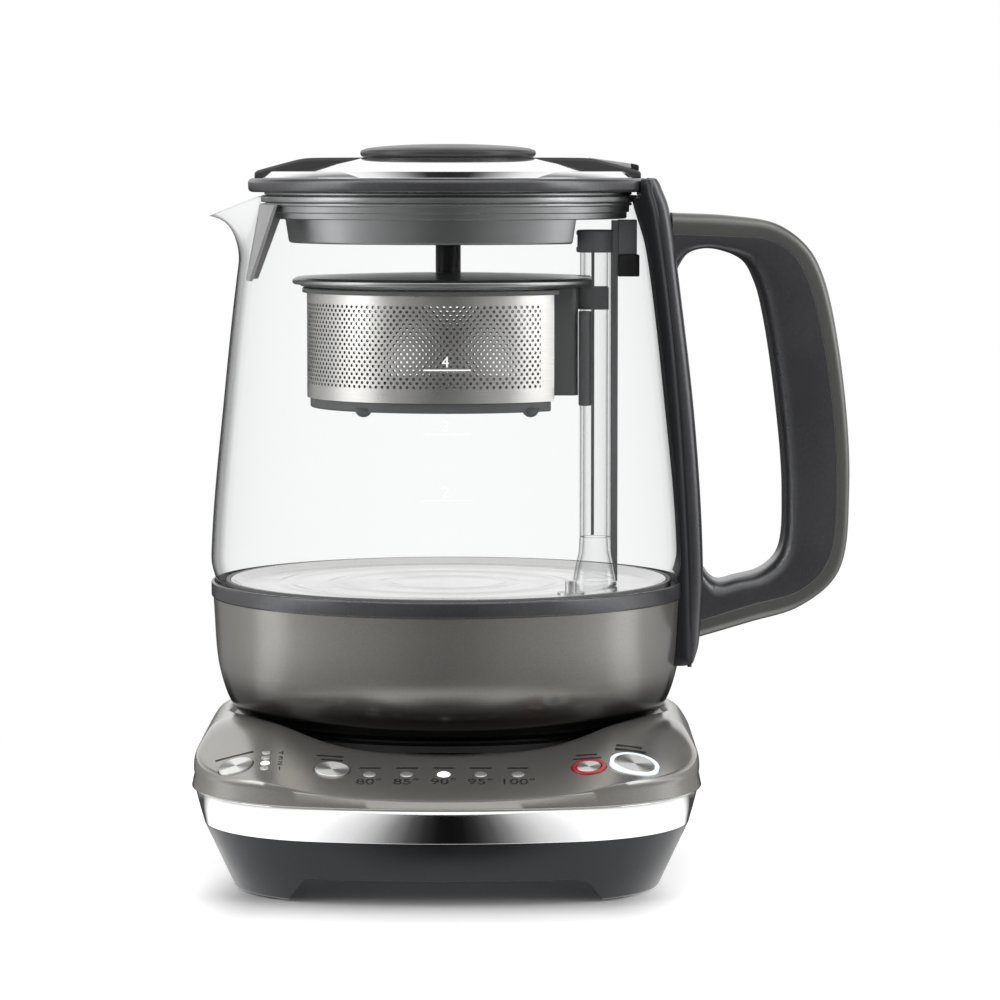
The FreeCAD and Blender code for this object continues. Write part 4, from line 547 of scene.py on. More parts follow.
@dataclass
class Shape:
    """Vertices and faces of a mesh, in millimetres."""

    points: list[Point3]
    faces: Faces

    @staticmethod
    def loft(rings: Sequence[Sequence[Point3]], around: bool = True, along: bool = False,
             caps: bool = False) -> "Shape":
        """Joins rings of equal count.

        Args:
            rings: The rings, in order.
            around: Whether each ring is closed.
            along: Whether the last ring joins the first.
            caps: Whether the first and last rings are filled.

        Returns:
            The lofted shape.
        """
        count = len(rings[0])
        points = [tuple(point) for ring in rings for point in ring]
        faces: Faces = []
        for i in range(len(rings) if along else len(rings) - 1):
            j = (i + 1) % len(rings)
            for k in range(count if around else count - 1):
                m = (k + 1) % count
                faces.append((i * count + k, i * count + m, j * count + m, j * count + k))
        if caps:
            faces.append(tuple(reversed(range(count))))
            faces.append(tuple(range((len(rings) - 1) * count, len(rings) * count)))
        return Shape(points, faces)

    @staticmethod
    def lathe(profile: Sequence[Point], steps: int = 128, x: float = 0.0, y: float = 0.0) -> "Shape":
        """Turns a closed profile of (radius, height) about a vertical axis."""
        rings = [[(x + r * c, y + r * s, z) for c, s in circle(steps)] for r, z in profile]
        return Shape.loft(rings, along=True)

    @staticmethod
    def slab(outline: Sequence[Point], low: float, high: float, along: Along = Along.Z) -> "Shape":
        """Pushes an outline through a thickness, with sharp edges.

        Args:
            outline: Points of a closed outline.
            low: Where the thickness starts.
            high: Where the thickness ends.
            along: Axis of the thickness; the outline's two values fill the others in order.

        Returns:
            The slab.
        """
        def put(u: float, v: float, w: float) -> Point3:
            """Sets the thickness among the outline's values."""
            point = [u, v]
            point.insert(along.value, w)
            return tuple(point)
        return Shape.loft([[put(u, v, w) for u, v in outline] for w in (low, high)], caps=True)

    @staticmethod
    def swept(profile: Sequence[Point], outline: Callable[[float], Sequence[Point]]) -> "Shape":
        """Sweeps a closed profile round an outline."""
        return Shape.loft([[(x, y, z) for x, y in outline(inset)] for inset, z in profile], along=True)

    @staticmethod
    def prism(outline: Sequence[Point], low: float, high: float, edge: float = 0.6,
              place: Placing = lambda u, v, w: (u, v, w)) -> "Shape":
        """Pushes an outline through a thickness, with rounded edges.

        Args:
            outline: Points of a closed outline.
            low: Where the thickness starts.
            high: Where the thickness ends.
            edge: Radius of the rounded edges.
            place: Turns (u, v, thickness) into a point; left out, they are X, Y and Z.

        Returns:
            The prism.
        """
        steps = 4
        bends = [math.pi / 2 * i / steps for i in range(steps + 1)]
        levels = [(edge * (1 - math.sin(bend)), low + edge * (1 - math.cos(bend))) for bend in bends]
        levels += [(inset, high + low - w) for inset, w in reversed(levels)]
        rings = [[place(u, v, w) for u, v in inward(outline, inset)] for inset, w in levels]
        return Shape.loft(rings, caps=True)

    def joined(self, other: "Shape") -> "Shape":
        """This shape and another as one mesh."""
        start = len(self.points)
        return Shape(self.points + other.points,
                     self.faces + [tuple(i + start for i in face) for face in other.faces])


def inward(outline: Sequence[Point], distance: float) -> list[Point]:
    """Moves a closed outline inwards along its corners' bisectors.

    Args:
        outline: The points.
        distance: How far each side moves.

    Returns:
        The moved points.
    """
    count = len(outline)
    area = sum(outline[i][0] * outline[(i + 1) % count][1] - outline[(i + 1) % count][0] * outline[i][1]
               for i in range(count))
    sign = 1.0 if area > 0 else -1.0
    moved = []
    for i in range(count):
        here = Vector(outline[i])
        before = (here - Vector(outline[i - 1])).normalized()
        after = (Vector(outline[(i + 1) % count]) - here).normalized()
        side = Vector((-before.y - after.y, before.x + after.x)) * sign
        share = max(0.35, side.length_squared / 2)
        moved.append(tuple(here + side * distance / share))
    return moved


def rectangle(left: float, right: float, half: float, radius: float = 0.0) -> list[Point]:
    """Outline of a rectangle from left to right, centred on the X axis, with rounded corners."""
    return filleted([(x, y, radius) for x, y in ((left, -half), (right, -half), (right, half), (left, half))])


def dee_outline(radius: float, flat: float, corner: float) -> list[Point]:
    """Outline of a disc with one flat side, towards +X.

    Args:
        radius: Radius of the disc.
        flat: Distance of the flat side from the axis.
        corner: Radius of the two corners.

    Returns:
        The outline, anticlockwise.
    """
    limit = math.acos(flat / radius)
    arc = arc_points((0.0, 0.0), radius, limit, math.tau - limit, DEE_TURNS)
    corners = [(x, y, 0.0) for x, y in arc]
    corners[0] = (*arc[0], corner)
    corners[-1] = (*arc[-1], corner)
    return filleted(corners, 3)


# --------------------------------------------------------------------------- making of pieces
MATERIALS: dict[str, bpy.types.Material] = {}
SHARP_ANGLE = math.radians(32.0)
FINE_TURNS = 192            # steps round the widest turned pieces
MIDDLE_TURNS = 160          # steps round the pieces inside the jug
GLASS_TURNS = 216
DEE_TURNS = 100
LETTER_SHARE = 1.38         # size of the font for each unit of a digit's height
LETTER_RISE = 0.04          # how far raised lettering stands up
UV_REACH = 20.0             # polar map's second value for each metre of radius


def material(finish: AnyFinish) -> bpy.types.Material:
    """The material of a finish, built once."""
    if finish.name not in MATERIALS:
        MATERIALS[finish.name] = finish.build()
    return MATERIALS[finish.name]


def mesh_object(name: str, shape: Shape) -> Piece:
    """Makes an object from a shape, with merged doubles and outward normals.

    Args:
        name: Name of the object.
        shape: The shape in millimetres.

    Returns:
        The new object.
    """
    mesh = bpy.data.meshes.new(name)
    mesh.from_pydata([tuple(MM * value for value in point) for point in shape.points], [], shape.faces)
    work = bmesh.new()
    work.from_mesh(mesh)
    bmesh.ops.remove_doubles(work, verts=work.verts, dist=0.002 * MM)
    bmesh.ops.dissolve_degenerate(work, edges=work.edges, dist=0.001 * MM)
    bmesh.ops.recalc_face_normals(work, faces=work.faces)
    work.to_mesh(mesh)
    work.free()
    piece = bpy.data.objects.new(name, mesh)
    bpy.context.scene.collection.objects.link(piece)
    return piece


def cut_away(piece: Piece, cutters: Sequence[Shape]) -> None:
    """Takes shapes out of a piece for good.

    Args:
        piece: Piece that is cut.
        cutters: Closed shapes; they may not touch each other.
    """
    tool = mesh_object("cutter", reduce(Shape.joined, cutters))
    modifier = piece.modifiers.new("cut", "BOOLEAN")
    modifier.operation = "DIFFERENCE"
    modifier.solver = "EXACT"
    modifier.object = tool
    bake(piece)
    bpy.data.objects.remove(tool)


def bake(piece: Piece) -> None:
    """Turns a piece and its modifiers into a plain mesh."""
    graph = bpy.context.evaluated_depsgraph_get()
    piece.data = bpy.data.meshes.new_from_object(piece.evaluated_get(graph))
    piece.modifiers.clear()


def finished(piece: Piece, finish: AnyFinish, body: Body, slot: str,
             *nodes: str) -> Piece:
    """Shades and dresses a piece and sets it on its body.

    Args:
        piece: The piece.
        finish: Its finish.
        body: Body that it rides on.
        slot: Material slot of the record; not used.
        nodes: CAD nodes that it stands for.

    Returns:
        The same piece.
    """
    piece.data.materials.clear()
    piece.data.materials.append(material(finish))
    piece.data.polygons.foreach_set("use_smooth", [True] * len(piece.data.polygons))
    piece.data.set_sharp_from_angle(angle=SHARP_ANGLE)
    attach(piece, body.value)
    if nodes:
        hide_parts(*nodes)
    log.info("%s: %d faces", piece.name, len(piece.data.polygons))
    return piece


def made(name: str, shape: Shape, finish: AnyFinish, body: Body, slot: str, *nodes: str) -> Piece:
    """Makes a piece from a shape and dresses it, with the arguments of finished."""
    return finished(mesh_object(name, shape), finish, body, slot, *nodes)


def written(name: str, text: str, size: float, place: Placing) -> Piece:
    """Raised lettering, centred on its place.

    Args:
        name: Name of the piece.
        text: Digits to write.
        size: Height of the letters in millimetres.
        place: Turns (u, v, thickness) in millimetres into a point.

    Returns:
        The lettering as a mesh.
    """
    curve = bpy.data.curves.new(name, "FONT")
    curve.body = text
    curve.size = size * LETTER_SHARE
    curve.align_x = "CENTER"
    curve.align_y = "CENTER"
    curve.extrude = LETTER_RISE / 2
    curve.resolution_u = 4
    holder = bpy.data.objects.new(name, curve)
    bpy.context.scene.collection.objects.link(holder)
    graph = bpy.context.evaluated_depsgraph_get()
    mesh = bpy.data.meshes.new_from_object(holder.evaluated_get(graph))
    bpy.data.objects.remove(holder)
    for vertex in mesh.vertices:
        u, v, w = vertex.co
        vertex.co = Vector(place(u, v, w + LETTER_RISE / 2)) * MM
    piece = bpy.data.objects.new(name, mesh)
    bpy.context.scene.collection.objects.link(piece)
    return piece


def polar_map(piece: Piece, centre: Vector, across: Vector, along: Vector) -> None:
    """Gives a turned piece a UV map of angle and radius about its own centre.

    Args:
        piece: The piece, in metres.
        centre: Centre in metres.
        across: First axis of the disc.
        along: Second axis of the disc.
    """
    layer = piece.data.uv_layers.new(name="polar")
    for face in piece.data.polygons:
        middle = face.center - centre
        base = math.atan2(middle.dot(along), middle.dot(across))
        for index in face.loop_indices:
            offset = piece.data.vertices[piece.data.loops[index].vertex_index].co - centre
            u, v = offset.dot(across), offset.dot(along)
            radius = math.hypot(u, v)
            angle = math.atan2(v, u) if radius > 1e-6 else base
            angle = base + math.remainder(angle - base, math.tau)
            layer.data[index].uv = (angle / math.tau, radius * UV_REACH)


# ---------------------------------------------------------------------------------- power base
def smooth_least(a: float, b: float, blend: float) -> float:
    """The lesser of two values, with a rounded change from one to the other."""
    share = max(blend - abs(a - b), 0.0) / blend
    return min(a, b) - share * share * blend / 4


def through(knots: Sequence[Point], value: float) -> float:
    """Reads a smooth curve.

    Args:
        knots: Points of (place, height) that it runs through, with rising places.
        value: Place where it is read.

    Returns:
        The height there, level beyond the first and last knots.
    """
    if value <= knots[0][0]:
        return knots[0][1]
    for i in range(len(knots) - 1):
        (x0, y0), (x1, y1) = knots[i], knots[i + 1]
        if value <= x1:
            before = knots[i - 1] if i else (2 * x0 - x1, 2 * y0 - y1)
            after = knots[i + 2] if i + 2 < len(knots) else (2 * x1 - x0, y1)
            slope0 = (y1 - before[1]) / (x1 - before[0])
            slope1 = (after[1] - y0) / (after[0] - x0)
            t, span = (value - x0) / (x1 - x0), x1 - x0
            return ((2 * t ** 3 - 3 * t ** 2 + 1) * y0 + (t ** 3 - 2 * t ** 2 + t) * span * slope0
                    + (3 * t ** 2 - 2 * t ** 3) * y1 + (t ** 3 - t ** 2) * span * slope1)
    return knots[-1][1]


@dataclass
class PowerBase:
    """Squircle base with a sloping panel, a chrome band and a dark housing on four legs."""

    band_top: float = 31.0
    band_bottom: float = 20.2
    panel_front: float = 33.6
    slope: float = math.radians(16.0)
    crown: float = 50.5
    wall: float = 2.4
    recess: float = 69.6
    recess_floor: float = 43.0
    leg_height: float = 8.0
    leg_span_x: float = 94.0
    leg_span_y: float = 76.0
    arch_slope: float = 4.5
    middle_y: float = -15.0
    proud: float = 0.55
    hole_gap: float = 0.25
    lamp_gap: float = 0.1
    hole_reach: float = 9.0
    arch_reach: float = 120.0
    cover_turns: int = 320
    cover_samples: int = 30
    bar_depth: float = 1.0
    bar_rise: float = 0.05

    shoulder = ((0.0, 35.6), (0.35, 38.8), (1.4, 42.3), (5.3, 47.8), (14.0, 50.5))
    side_fall = ((0.0, 0.0), (30.0, 0.05), (40.0, 0.6), (50.0, 1.2), (56.0, 0.95), (61.0, 0.0),
                 (70.0, -2.3), (79.0, -5.0))
    strength = (-63.7, -75.5, 5.4)
    temperature = (-34.3, -80.1, 5.3)
    keep_warm = (43.4, -79.5, 3.7)
    start = (57.3, -77.1, 6.2)
    warm_ring = 1.5
    start_ring = 1.4
    lamp_row = (-22.9, -82.6, 11.2, 5)
    dial_row = (-54.7, -80.8, 3.7, 4)
    lamp_radius = 2.0
    dial_lamp_radius = 1.4

    button_bars = (("strength_upper", -64.6, -67.6, 12.0), ("temperature_upper", -34.8, -70.4, 9.0),
                   ("temperature_lower", -34.6, -73.0, 6.6), ("keep_warm_upper", 42.8, -70.6, 6.4),
                   ("keep_warm_lower", 43.0, -73.2, 8.6), ("start_upper", 56.0, -64.8, 8.0),
                   ("start_lower", 56.4, -67.6, 9.6))

    def panel_level(self, y: float) -> float:
        """Height of the panel at a Y."""
        return self.panel_front + (y + FRONT) * math.tan(self.slope)

    def axes_at(self, x: float, y: float) -> tuple[Vector, Vector, Vector]:
        """Directions across, up and out of the panel at a place.

        Args:
            x: X of the place.
            y: Y of the place.

        Returns:
            Three unit vectors square to each other.
        """
        step = 1.0
        across = Vector((2 * step, 0.0, self.surface(x + step, y) - self.surface(x - step, y))).normalized()
        up = Vector((0.0, math.cos(self.slope), math.sin(self.slope)))
        out = across.cross(up).normalized()
        return across, out.cross(across), out

    def on_panel(self, x: float, y: float) -> Placing:
        """Places local (u, v, height) on the panel about a point.

        Args:
            x: X of the point.
            y: Y of the point.

        Returns:
            A function from local to real coordinates.
        """
        across, up, out = self.axes_at(x, y)
        centre = Vector((x, y, self.surface(x, y)))

        def place(u: float, v: float, w: float) -> Point3:
            """Places one point."""
            return tuple(centre + across * u + up * v + out * w)
        return place

    def surface(self, x: float, y: float) -> float:
        """Height of the cover's outside at a place."""
        side = through(self.shoulder, plan_inset(x, y))
        return smooth_least(side, self.panel_level(y) + through(self.side_fall, abs(x)), 2.4)

    def edge_radius(self, angle: float) -> float:
        """Distance from the axis to the plan's outline.

        Args:
            angle: Direction in radians.

        Returns:
            The distance in millimetres.
        """
        low, high = 60.0, 130.0
        for _ in range(40):
            middle = (low + high) / 2
            if plan_inset(middle * math.cos(angle), middle * math.sin(angle)) > 0:
                low = middle
            else:
                high = middle
        return low

    def cover_section(self, angle: float) -> list[Point3]:
        """One upright section of the cover, as a closed outline from the recess outwards and back.

        Args:
            angle: Direction of the section.

        Returns:
            The section's points.
        """
        cos, sin = math.cos(angle), math.sin(angle)
        edge = self.edge_radius(angle)
        top = self.surface(self.recess * cos, self.recess * sin)
        floor = min(self.recess_floor, top - 0.3)
        roll = max(0.15, min(1.5, (top - floor) / 2, (edge - self.recess) / 3))
        points = [(61.0, floor), (self.recess - 0.6, floor)]
        start = self.recess + roll
        start_z = self.surface(start * cos, start * sin)
        for i in range(7):
            bend = math.pi / 2 * i / 6
            points.append((self.recess + roll * (1 - math.cos(bend)),
                           start_z - roll * (1 - math.sin(bend))))
        outer: list[Point] = []
        samples = self.cover_samples
        for i in range(1, samples + 1):
            r = edge - (edge - start) * (1 - i / samples) ** 1.7
            outer.append((r - 0.9 * (i / samples) ** 12, self.surface(r * cos, r * sin)))
        points += outer
        points += [(edge + 0.05, self.band_top + 0.7), (edge, self.band_top + 0.4),
                   (edge - 0.3, self.band_top + 0.1), (edge - 1.1, self.band_top + 0.05),
                   (edge - self.wall - 0.4, self.band_top + 0.05)]
        under = [(max(60.9, r - self.wall * 0.8), max(31.2, min(z - self.wall, 48.0))) for r, z in outer]
        points += list(reversed(under[: samples - 1]))
        points.append((60.5, floor - self.wall))
        return [(r * cos, r * sin, z) for r, z in points]

    def build_cover(self) -> None:
        """Builds the cover with its panel, recess and the holes of its controls."""
        turns = self.cover_turns
        sections = [self.cover_section(math.tau * i / turns) for i in range(turns)]
        cover = mesh_object("dressed_cover", Shape.loft(sections, along=True))
        holes = [self.disc(x, y, radius + ring + self.hole_gap, 64) for (x, y, radius),
                 ring in self.controls()]
        holes += [self.disc(x, y, radius + self.lamp_gap, 24) for x, y, radius in self.lamp_places()]
        cut_away(cover, holes)
        finished(cover, PANEL, Body.BASE, "smoked_metal", "top_cover")

    def controls(self) -> list[tuple[Point3, float]]:
        """Each button's place and radius, and the width of the ring round it."""
        return [(self.strength, 0.0), (self.temperature, 0.0), (self.keep_warm, self.warm_ring),
                (self.start, self.start_ring)]

    def lamp_places(self) -> list[Point3]:
        """Place and radius of each small lamp."""
        x, y, pitch, count = self.lamp_row
        row = [(x + pitch * i, y, self.lamp_radius) for i in range(count)]
        x, y, pitch, count = self.dial_row
        return row + [(x, y + pitch * i, self.dial_lamp_radius) for i in range(count)]

    def disc(self, x: float, y: float, radius: float, steps: int) -> Shape:
        """Plain disc square to the panel, used to cut its holes."""
        place, reach = self.on_panel(x, y), self.hole_reach
        return Shape.loft([[place(radius * c, radius * s, w) for c, s in circle(steps)]
                           for w in (-reach, reach)], caps=True)

    def turned_on_panel(self, x: float, y: float, profile: Sequence[Point], steps: int = 72) -> Shape:
        """Turns a closed profile of (radius, height) about the panel's normal."""
        place = self.on_panel(x, y)
        return Shape.loft([[place(r * c, r * s, h) for c, s in circle(steps)] for r, h in profile],
                          along=True)

    def build_buttons(self) -> None:
        """Builds the four spun metal buttons and the rings round two of them."""
        rows = zip(("strength_button", "temperature_button", "keep_warm_button", "start_button"),
                   self.controls())
        for node, ((x, y, radius), _) in rows:
            outline = filleted([(0.0, -1.5, 0), (radius, -1.5, 0), (radius, self.proud, 0.3),
                                (0.0, self.proud - 0.25, 0)])
            cap = mesh_object("dressed_" + node, self.turned_on_panel(x, y, outline))
            across, along, _ = self.axes_at(x, y)
            polar_map(cap, Vector(self.on_panel(x, y)(0, 0, 0)) * MM, across, along)
            finished(cap, SPUN, Body(node), "steel", node)
        rings = ((self.keep_warm, self.warm_ring, RED_LENS, "red_lens", "keep_warm_ring"),
                 (self.start, self.start_ring, WHITE_LENS, "white_lens", "start_ring"))
        for (x, y, radius), width, lens, slot, node in rings:
            inner = radius + 0.25
            outline = filleted([(inner, -2.0, 0), (radius + width, -2.0, 0), (radius + width, 0.45, 0.3),
                                (inner, 0.5, 0.3)])
            made("dressed_" + node, self.turned_on_panel(x, y, outline), lens, Body.BASE, slot, node)

    def build_lamps(self) -> None:
        """Builds the lamps, one lit in each row."""
        for node, lamps, lit in (("temperature_lamps", self.lamp_places()[:5], 2),
                                 ("strength_lamps", self.lamp_places()[5:], 1)):
            for i, (x, y, radius) in enumerate(lamps):
                outline = [(0.0, -2.0), (radius, -2.0), (radius, 0.08)]
                outline += [(radius * math.cos(a), 0.08 + 0.3 * math.sin(a)) for a in (0.4, 0.8, 1.2)]
                outline.append((0.0, 0.38))
                made(f"{node}_{i + 1}", self.turned_on_panel(x, y, outline, 28),
                     LAMP_ON if i == lit else LAMP_OFF, Body.BASE, "white_lens", node)

    def build_band(self) -> None:
        """Builds the chrome band, with softly rounded edges."""
        outline = filleted([(1.0, self.band_top, 0.4), (2.35, self.band_bottom + 5.4, 0),
                            (3.9, self.band_bottom, 0.5), (5.3, self.band_bottom, 0),
                            (2.4, self.band_top, 0)], 4)
        made("dressed_band", Shape.swept(outline, plan_ring), CHROME, Body.BASE, "chrome", "chrome_band")

    def arch(self, span: float) -> list[Point]:
        """Outline of the opening between two legs, level on top with sloping, softly bent ends.

        Args:
            span: Clear width between the legs, at the feet.

        Returns:
            The outline as (across, up).
        """
        foot, top = span / 2, span / 2 - self.arch_slope
        return filleted([(-foot - 4.0, -4.0, 0), (-foot - 0.4, 0.9, 3.0), (-top, self.leg_height, 2.6),
                         (top, self.leg_height, 2.6), (foot + 0.4, 0.9, 3.0), (foot + 4.0, -4.0, 0)], 6)

    def build_housing(self) -> None:
        """Builds the dark tray and its legs."""
        closing = 60.0
        outside = filleted([(3.9, self.band_bottom, 0), (8.8, 9.7, 30.0), (13.1, 0.5, 1.2),
                            (closing, 0.5, 0)], 4, closed=False)
        inside = [(closing, 10.2), (16.0, 10.2), (7.0, self.band_bottom)]

        def outline(inset: float) -> list[Point]:
            """The plan at an inset, drawn together to its middle for the floor."""
            return plan_ring(inset) if inset < closing else [(0.0, self.middle_y)] * len(plan_ring(0.0))

        tray = mesh_object("dressed_housing", Shape.swept(outside + inside, outline))
        reach = self.arch_reach
        sides = [(self.middle_y + u, z) for u, z in self.arch(self.leg_span_y)]
        cut_away(tray, [Shape.slab(self.arch(self.leg_span_x), -reach, reach, Along.Y)])
        cut_away(tray, [Shape.slab(sides, -reach, reach, Along.X)])
        finished(tray, HOUSING_PLASTIC, Body.BASE, "charcoal_plastic", "base_housing")

    def build(self) -> None:
        """Builds the whole base."""
        self.build_cover()
        self.build_buttons()
        self.build_lamps()
        self.build_band()
        self.build_housing()
        self.build_marks()

    def build_marks(self) -> None:
        """Prints the numbers beside the lamps and plain bars over the lamps and buttons."""
        x, y, pitch, count = self.lamp_row
        for i in range(count):
            place = self.on_panel(x + pitch * i, y - 5.2)
            mark = written(f"temperature_mark_{i + 1}", f"{80 + 5 * i}\u00b0", 4.2, place)
            finished(mark, DARK_INK, Body.BASE, "black_plastic")
            self.print_bar(f"temperature_bar_{i + 1}", x + pitch * i, y + 4.4, 6.4)
        x, y, pitch, count = self.dial_row
        for i in range(count):
            mark = written(f"strength_mark_{i + 1}", str(i + 1), 2.6,
                           self.on_panel(x + 4.6, y + pitch * i - 0.4))
            finished(mark, DARK_INK, Body.BASE, "black_plastic")
        for name, x, y, width in self.button_bars:
            self.print_bar(f"{name}_bar", x, y, width)

    def print_bar(self, name: str, x: float, y: float, width: float) -> None:
        """Prints a plain bar on the panel.

        Args:
            name: Name of the piece.
            x: X of its middle.
            y: Y of its middle.
            width: Its width.
        """
        put, half, rise = self.on_panel(x, y), self.bar_depth / 2, self.bar_rise
        cross = ((-half, 0.0), (half, 0.0), (half, rise), (-half, rise))
        rings = [[put(width * (k / 8 - 0.5), v, w) for v, w in cross] for k in range(9)]
        made(name, Shape.loft(rings, caps=True), DARK_INK, Body.BASE, "black_plastic")


# ------------------------------------------------------------------------------------------ jug
def spline(points: Sequence[Point], steps: int = 9) -> list[Point]:
    """A smooth curve through points.

    Args:
        points: Points in the plane.
        steps: Steps between neighbours.

    Returns:
        The curve's points.
    """
    count = len(points)
    curve: list[Point] = []
    for i in range(count - 1):
        quad = [Vector(points[min(max(k, 0), count - 1)]) for k in range(i - 1, i + 3)]
        spans = [max(1e-6, (quad[k + 1] - quad[k]).length ** 0.5) for k in range(3)]
        p0, p1, p2, p3 = quad
        m1 = m2 = (p2 - p1) / spans[1]
        if spans[0] >= 1e-3:
            m1 = (p1 - p0) / spans[0] - (p2 - p0) / (spans[0] + spans[1]) + m1
        if spans[2] > 1e-3:
            m2 = (p3 - p2) / spans[2] - (p3 - p1) / (spans[1] + spans[2]) + m2
        m1, m2 = m1 * spans[1], m2 * spans[1]
        for k in range(steps):
            t = k / steps
            point = (2 * t ** 3 - 3 * t ** 2 + 1) * p1 + (t ** 3 - 2 * t ** 2 + t) * m1 \
                + (3 * t ** 2 - 2 * t ** 3) * p2 + (t ** 3 - t ** 2) * m2
            curve.append((point.x, point.y))
    return curve + [tuple(points[-1])]


@dataclass
class Jug:
    """Glass jug with its heated foot, handle, riser and pouring lip."""

    foot: float = 88.0
    mouth: float = 213.0
    lip_root: float = 191.0
    lip_reach: float = 14.3
    lip_drop: float = 6.6
    lip_spread: float = 0.34
    glass_wall: float = 2.2
    collar_low: float = 85.4
    collar_top: float = 90.4
    collar_radius: float = 75.8
    plate_top: float = 89.2

    glass_outline = ((88.0, 73.4), (98.0, 75.8), (149.5, 71.4), (196.0, 66.0), (213.0, 62.2))
    housing_outline = ((55.0, 46.4), (62.0, 46.4), (68.4, 50.2), (73.2, 62.4), (75.2, 85.4))
    grip_outer = ((71.0, 119.4), (90.0, 118.4), (104.0, 116.0), (113.6, 109.0), (118.9, 99.4),
                  (125.0, 69.3), (127.5, 32.0), (124.2, 5.4), (112.0, -5.6), (96.0, -10.7), (78.0, -16.0))
    grip_trim = ((71.0, 112.8), (88.0, 112.2), (101.4, 111.0), (109.6, 106.0), (114.6, 96.6), (120.8, 68.0),
                 (123.4, 32.0), (120.6, 9.0), (112.0, -0.1), (96.0, -5.0), (78.0, -10.6))
    grip_pairs_outer = ((71.0, 112.8), (73.0, 112.8), (76.0, 112.7), (81.5, 112.5), (88.0, 112.2),
                        (101.4, 111.0), (109.6, 106.0), (114.6, 96.6), (120.8, 68.0), (123.4, 32.0),
                        (120.6, 9.0), (112.0, -0.1), (96.0, -5.0), (86.0, -8.2), (78.0, -10.6))
    grip_pairs_inner = ((71.0, 97.0), (73.2, 102.6), (76.0, 106.6), (81.0, 108.2), (87.0, 107.4),
                        (94.0, 104.0), (97.8, 97.0), (100.2, 88.0), (104.0, 64.0), (106.9, 31.0),
                        (105.4, 11.6), (100.2, 6.0), (92.0, 3.4), (85.2, 2.4), (78.6, 11.0))
    strap_split = ((63.6, 130.0), (66.2, 120.0), (70.4, 92.0), (74.2, 53.0), (76.6, 12.0), (77.4, -24.0))
    strap_outer = ((66.4, 130.6), (69.8, 121.0), (72.6, 102.0), (78.3, 53.0), (81.0, 8.0), (79.8, -16.6),
                   (77.2, -25.2))
    riser_x = 47.0
    riser_turns = 48
    mark_levels = (121.4, 141.3, 160.6)
    line_section = ((-0.22, 0.0), (0.22, 0.0), (0.22, 0.04), (-0.22, 0.04))
    handle_half = 11.0
    strap_half = 18.0
    shell_half = 14.0

    def glass_radius(self, z: float) -> float:
        """Outer radius of the glass at a height."""
        return through(self.glass_outline, z)

    def lip(self, x: float, y: float, z: float) -> Point3:
        """Draws the mouth out into the pouring lip.

        Args:
            x: X of a point of the turned glass.
            y: Y of the point.
            z: Its height.

        Returns:
            The point's place in the lip.
        """
        angle = math.atan2(y, -x)
        share = max(0.0, 1.0 - abs(angle) / self.lip_spread)
        bump = math.sin(share * math.pi / 2) ** 2
        rise = min(1.0, max(0.0, (z - self.lip_root) / (self.mouth - self.lip_root)))
        radius = math.hypot(x, y)
        grown = radius + self.lip_reach * bump * rise ** 1.9
        return x * grown / radius, y * grown / radius, z - self.lip_drop * bump * rise ** 3

    def build_glass(self) -> None:
        """Builds the glass wall with its rolled rim and pouring lip."""
        levels = [self.foot + (self.mouth - self.foot) * i / 60 for i in range(61)]
        outer = [(self.glass_radius(z), z) for z in levels]
        inner = [(self.glass_radius(z) - self.glass_wall, z) for z in reversed(levels)]
        rim_r, rim = self.glass_radius(self.mouth) - self.glass_wall / 2, self.mouth - self.glass_wall / 2
        outer = [point for point in outer if point[1] < rim]
        inner = [point for point in inner if point[1] < rim]
        bead = [(rim_r + 1.3 * math.cos(a), rim + 1.1 * math.sin(a)) for a in
                [math.pi * k / 10 for k in range(11)]]
        profile = outer + bead + inner
        rings = [[self.lip(r * c, r * s, z) for c, s in circle(GLASS_TURNS)] for r, z in profile]
        glass = made("dressed_glass", Shape.loft(rings, along=True), JUG_GLASS, Body.JUG, "clear_glass",
                     "glass_body")
        glass.data.materials.append(material(INNER_GLASS))
        for face in glass.data.polygons:
            x, y, z = face.center
            inward_face = face.normal.x * x + face.normal.y * y < 0.0
            face.material_index = 1 if inward_face and z < (self.mouth - 2.0) * MM else 0

    def build_foot(self) -> None:
        """Builds the metallic foot, its collar and the heated floor."""
        outline = spline(self.housing_outline)
        inside = [(73.6, 85.4), (71.6, 63.0), (66.6, 51.6), (61.9, 49.0)]
        made("dressed_jug_foot", Shape.lathe(outline[8:] + inside, FINE_TURNS), SMOKED, Body.JUG,
             "smoked_metal", "jug_housing")
        low, top, r = self.collar_low, self.collar_top, self.collar_radius
        outline = filleted([(72.0, low, 0), (r - 0.5, low, 0.4), (r, low + 0.6, 0.4), (r, top, 0.9),
                            (74.9, top, 0), (74.9, 87.9, 0), (72.0, 87.9, 0)])
        made("dressed_collar", Shape.lathe(outline, FINE_TURNS), CHARCOAL, Body.JUG, "charcoal_plastic",
             "collar_ring")
        top = self.plate_top
        outline = [(0.0, self.foot), (69.8, self.foot)]
        outline += filleted([(69.8, self.foot, 0), (69.8, top + 1.6, 0.5), (68.9, top + 1.6, 0.4),
                             (66.0, top, 1.5), (60.0, top, 0)], closed=False)
        for i in range(1, 100):
            r = 60.0 - 0.6 * i
            height = sum(0.5 * math.cos((r - m) / 4.0 * math.pi / 2) ** 2
                         for m in (20.0, 36.0, 52.0) if abs(r - m) < 4)
            outline.append((r, top + height))
        outline.append((0.0, top))
        made("dressed_floor", Shape.lathe(outline, MIDDLE_TURNS), POLISHED, Body.JUG, "polished_steel",
             "heater_plate")

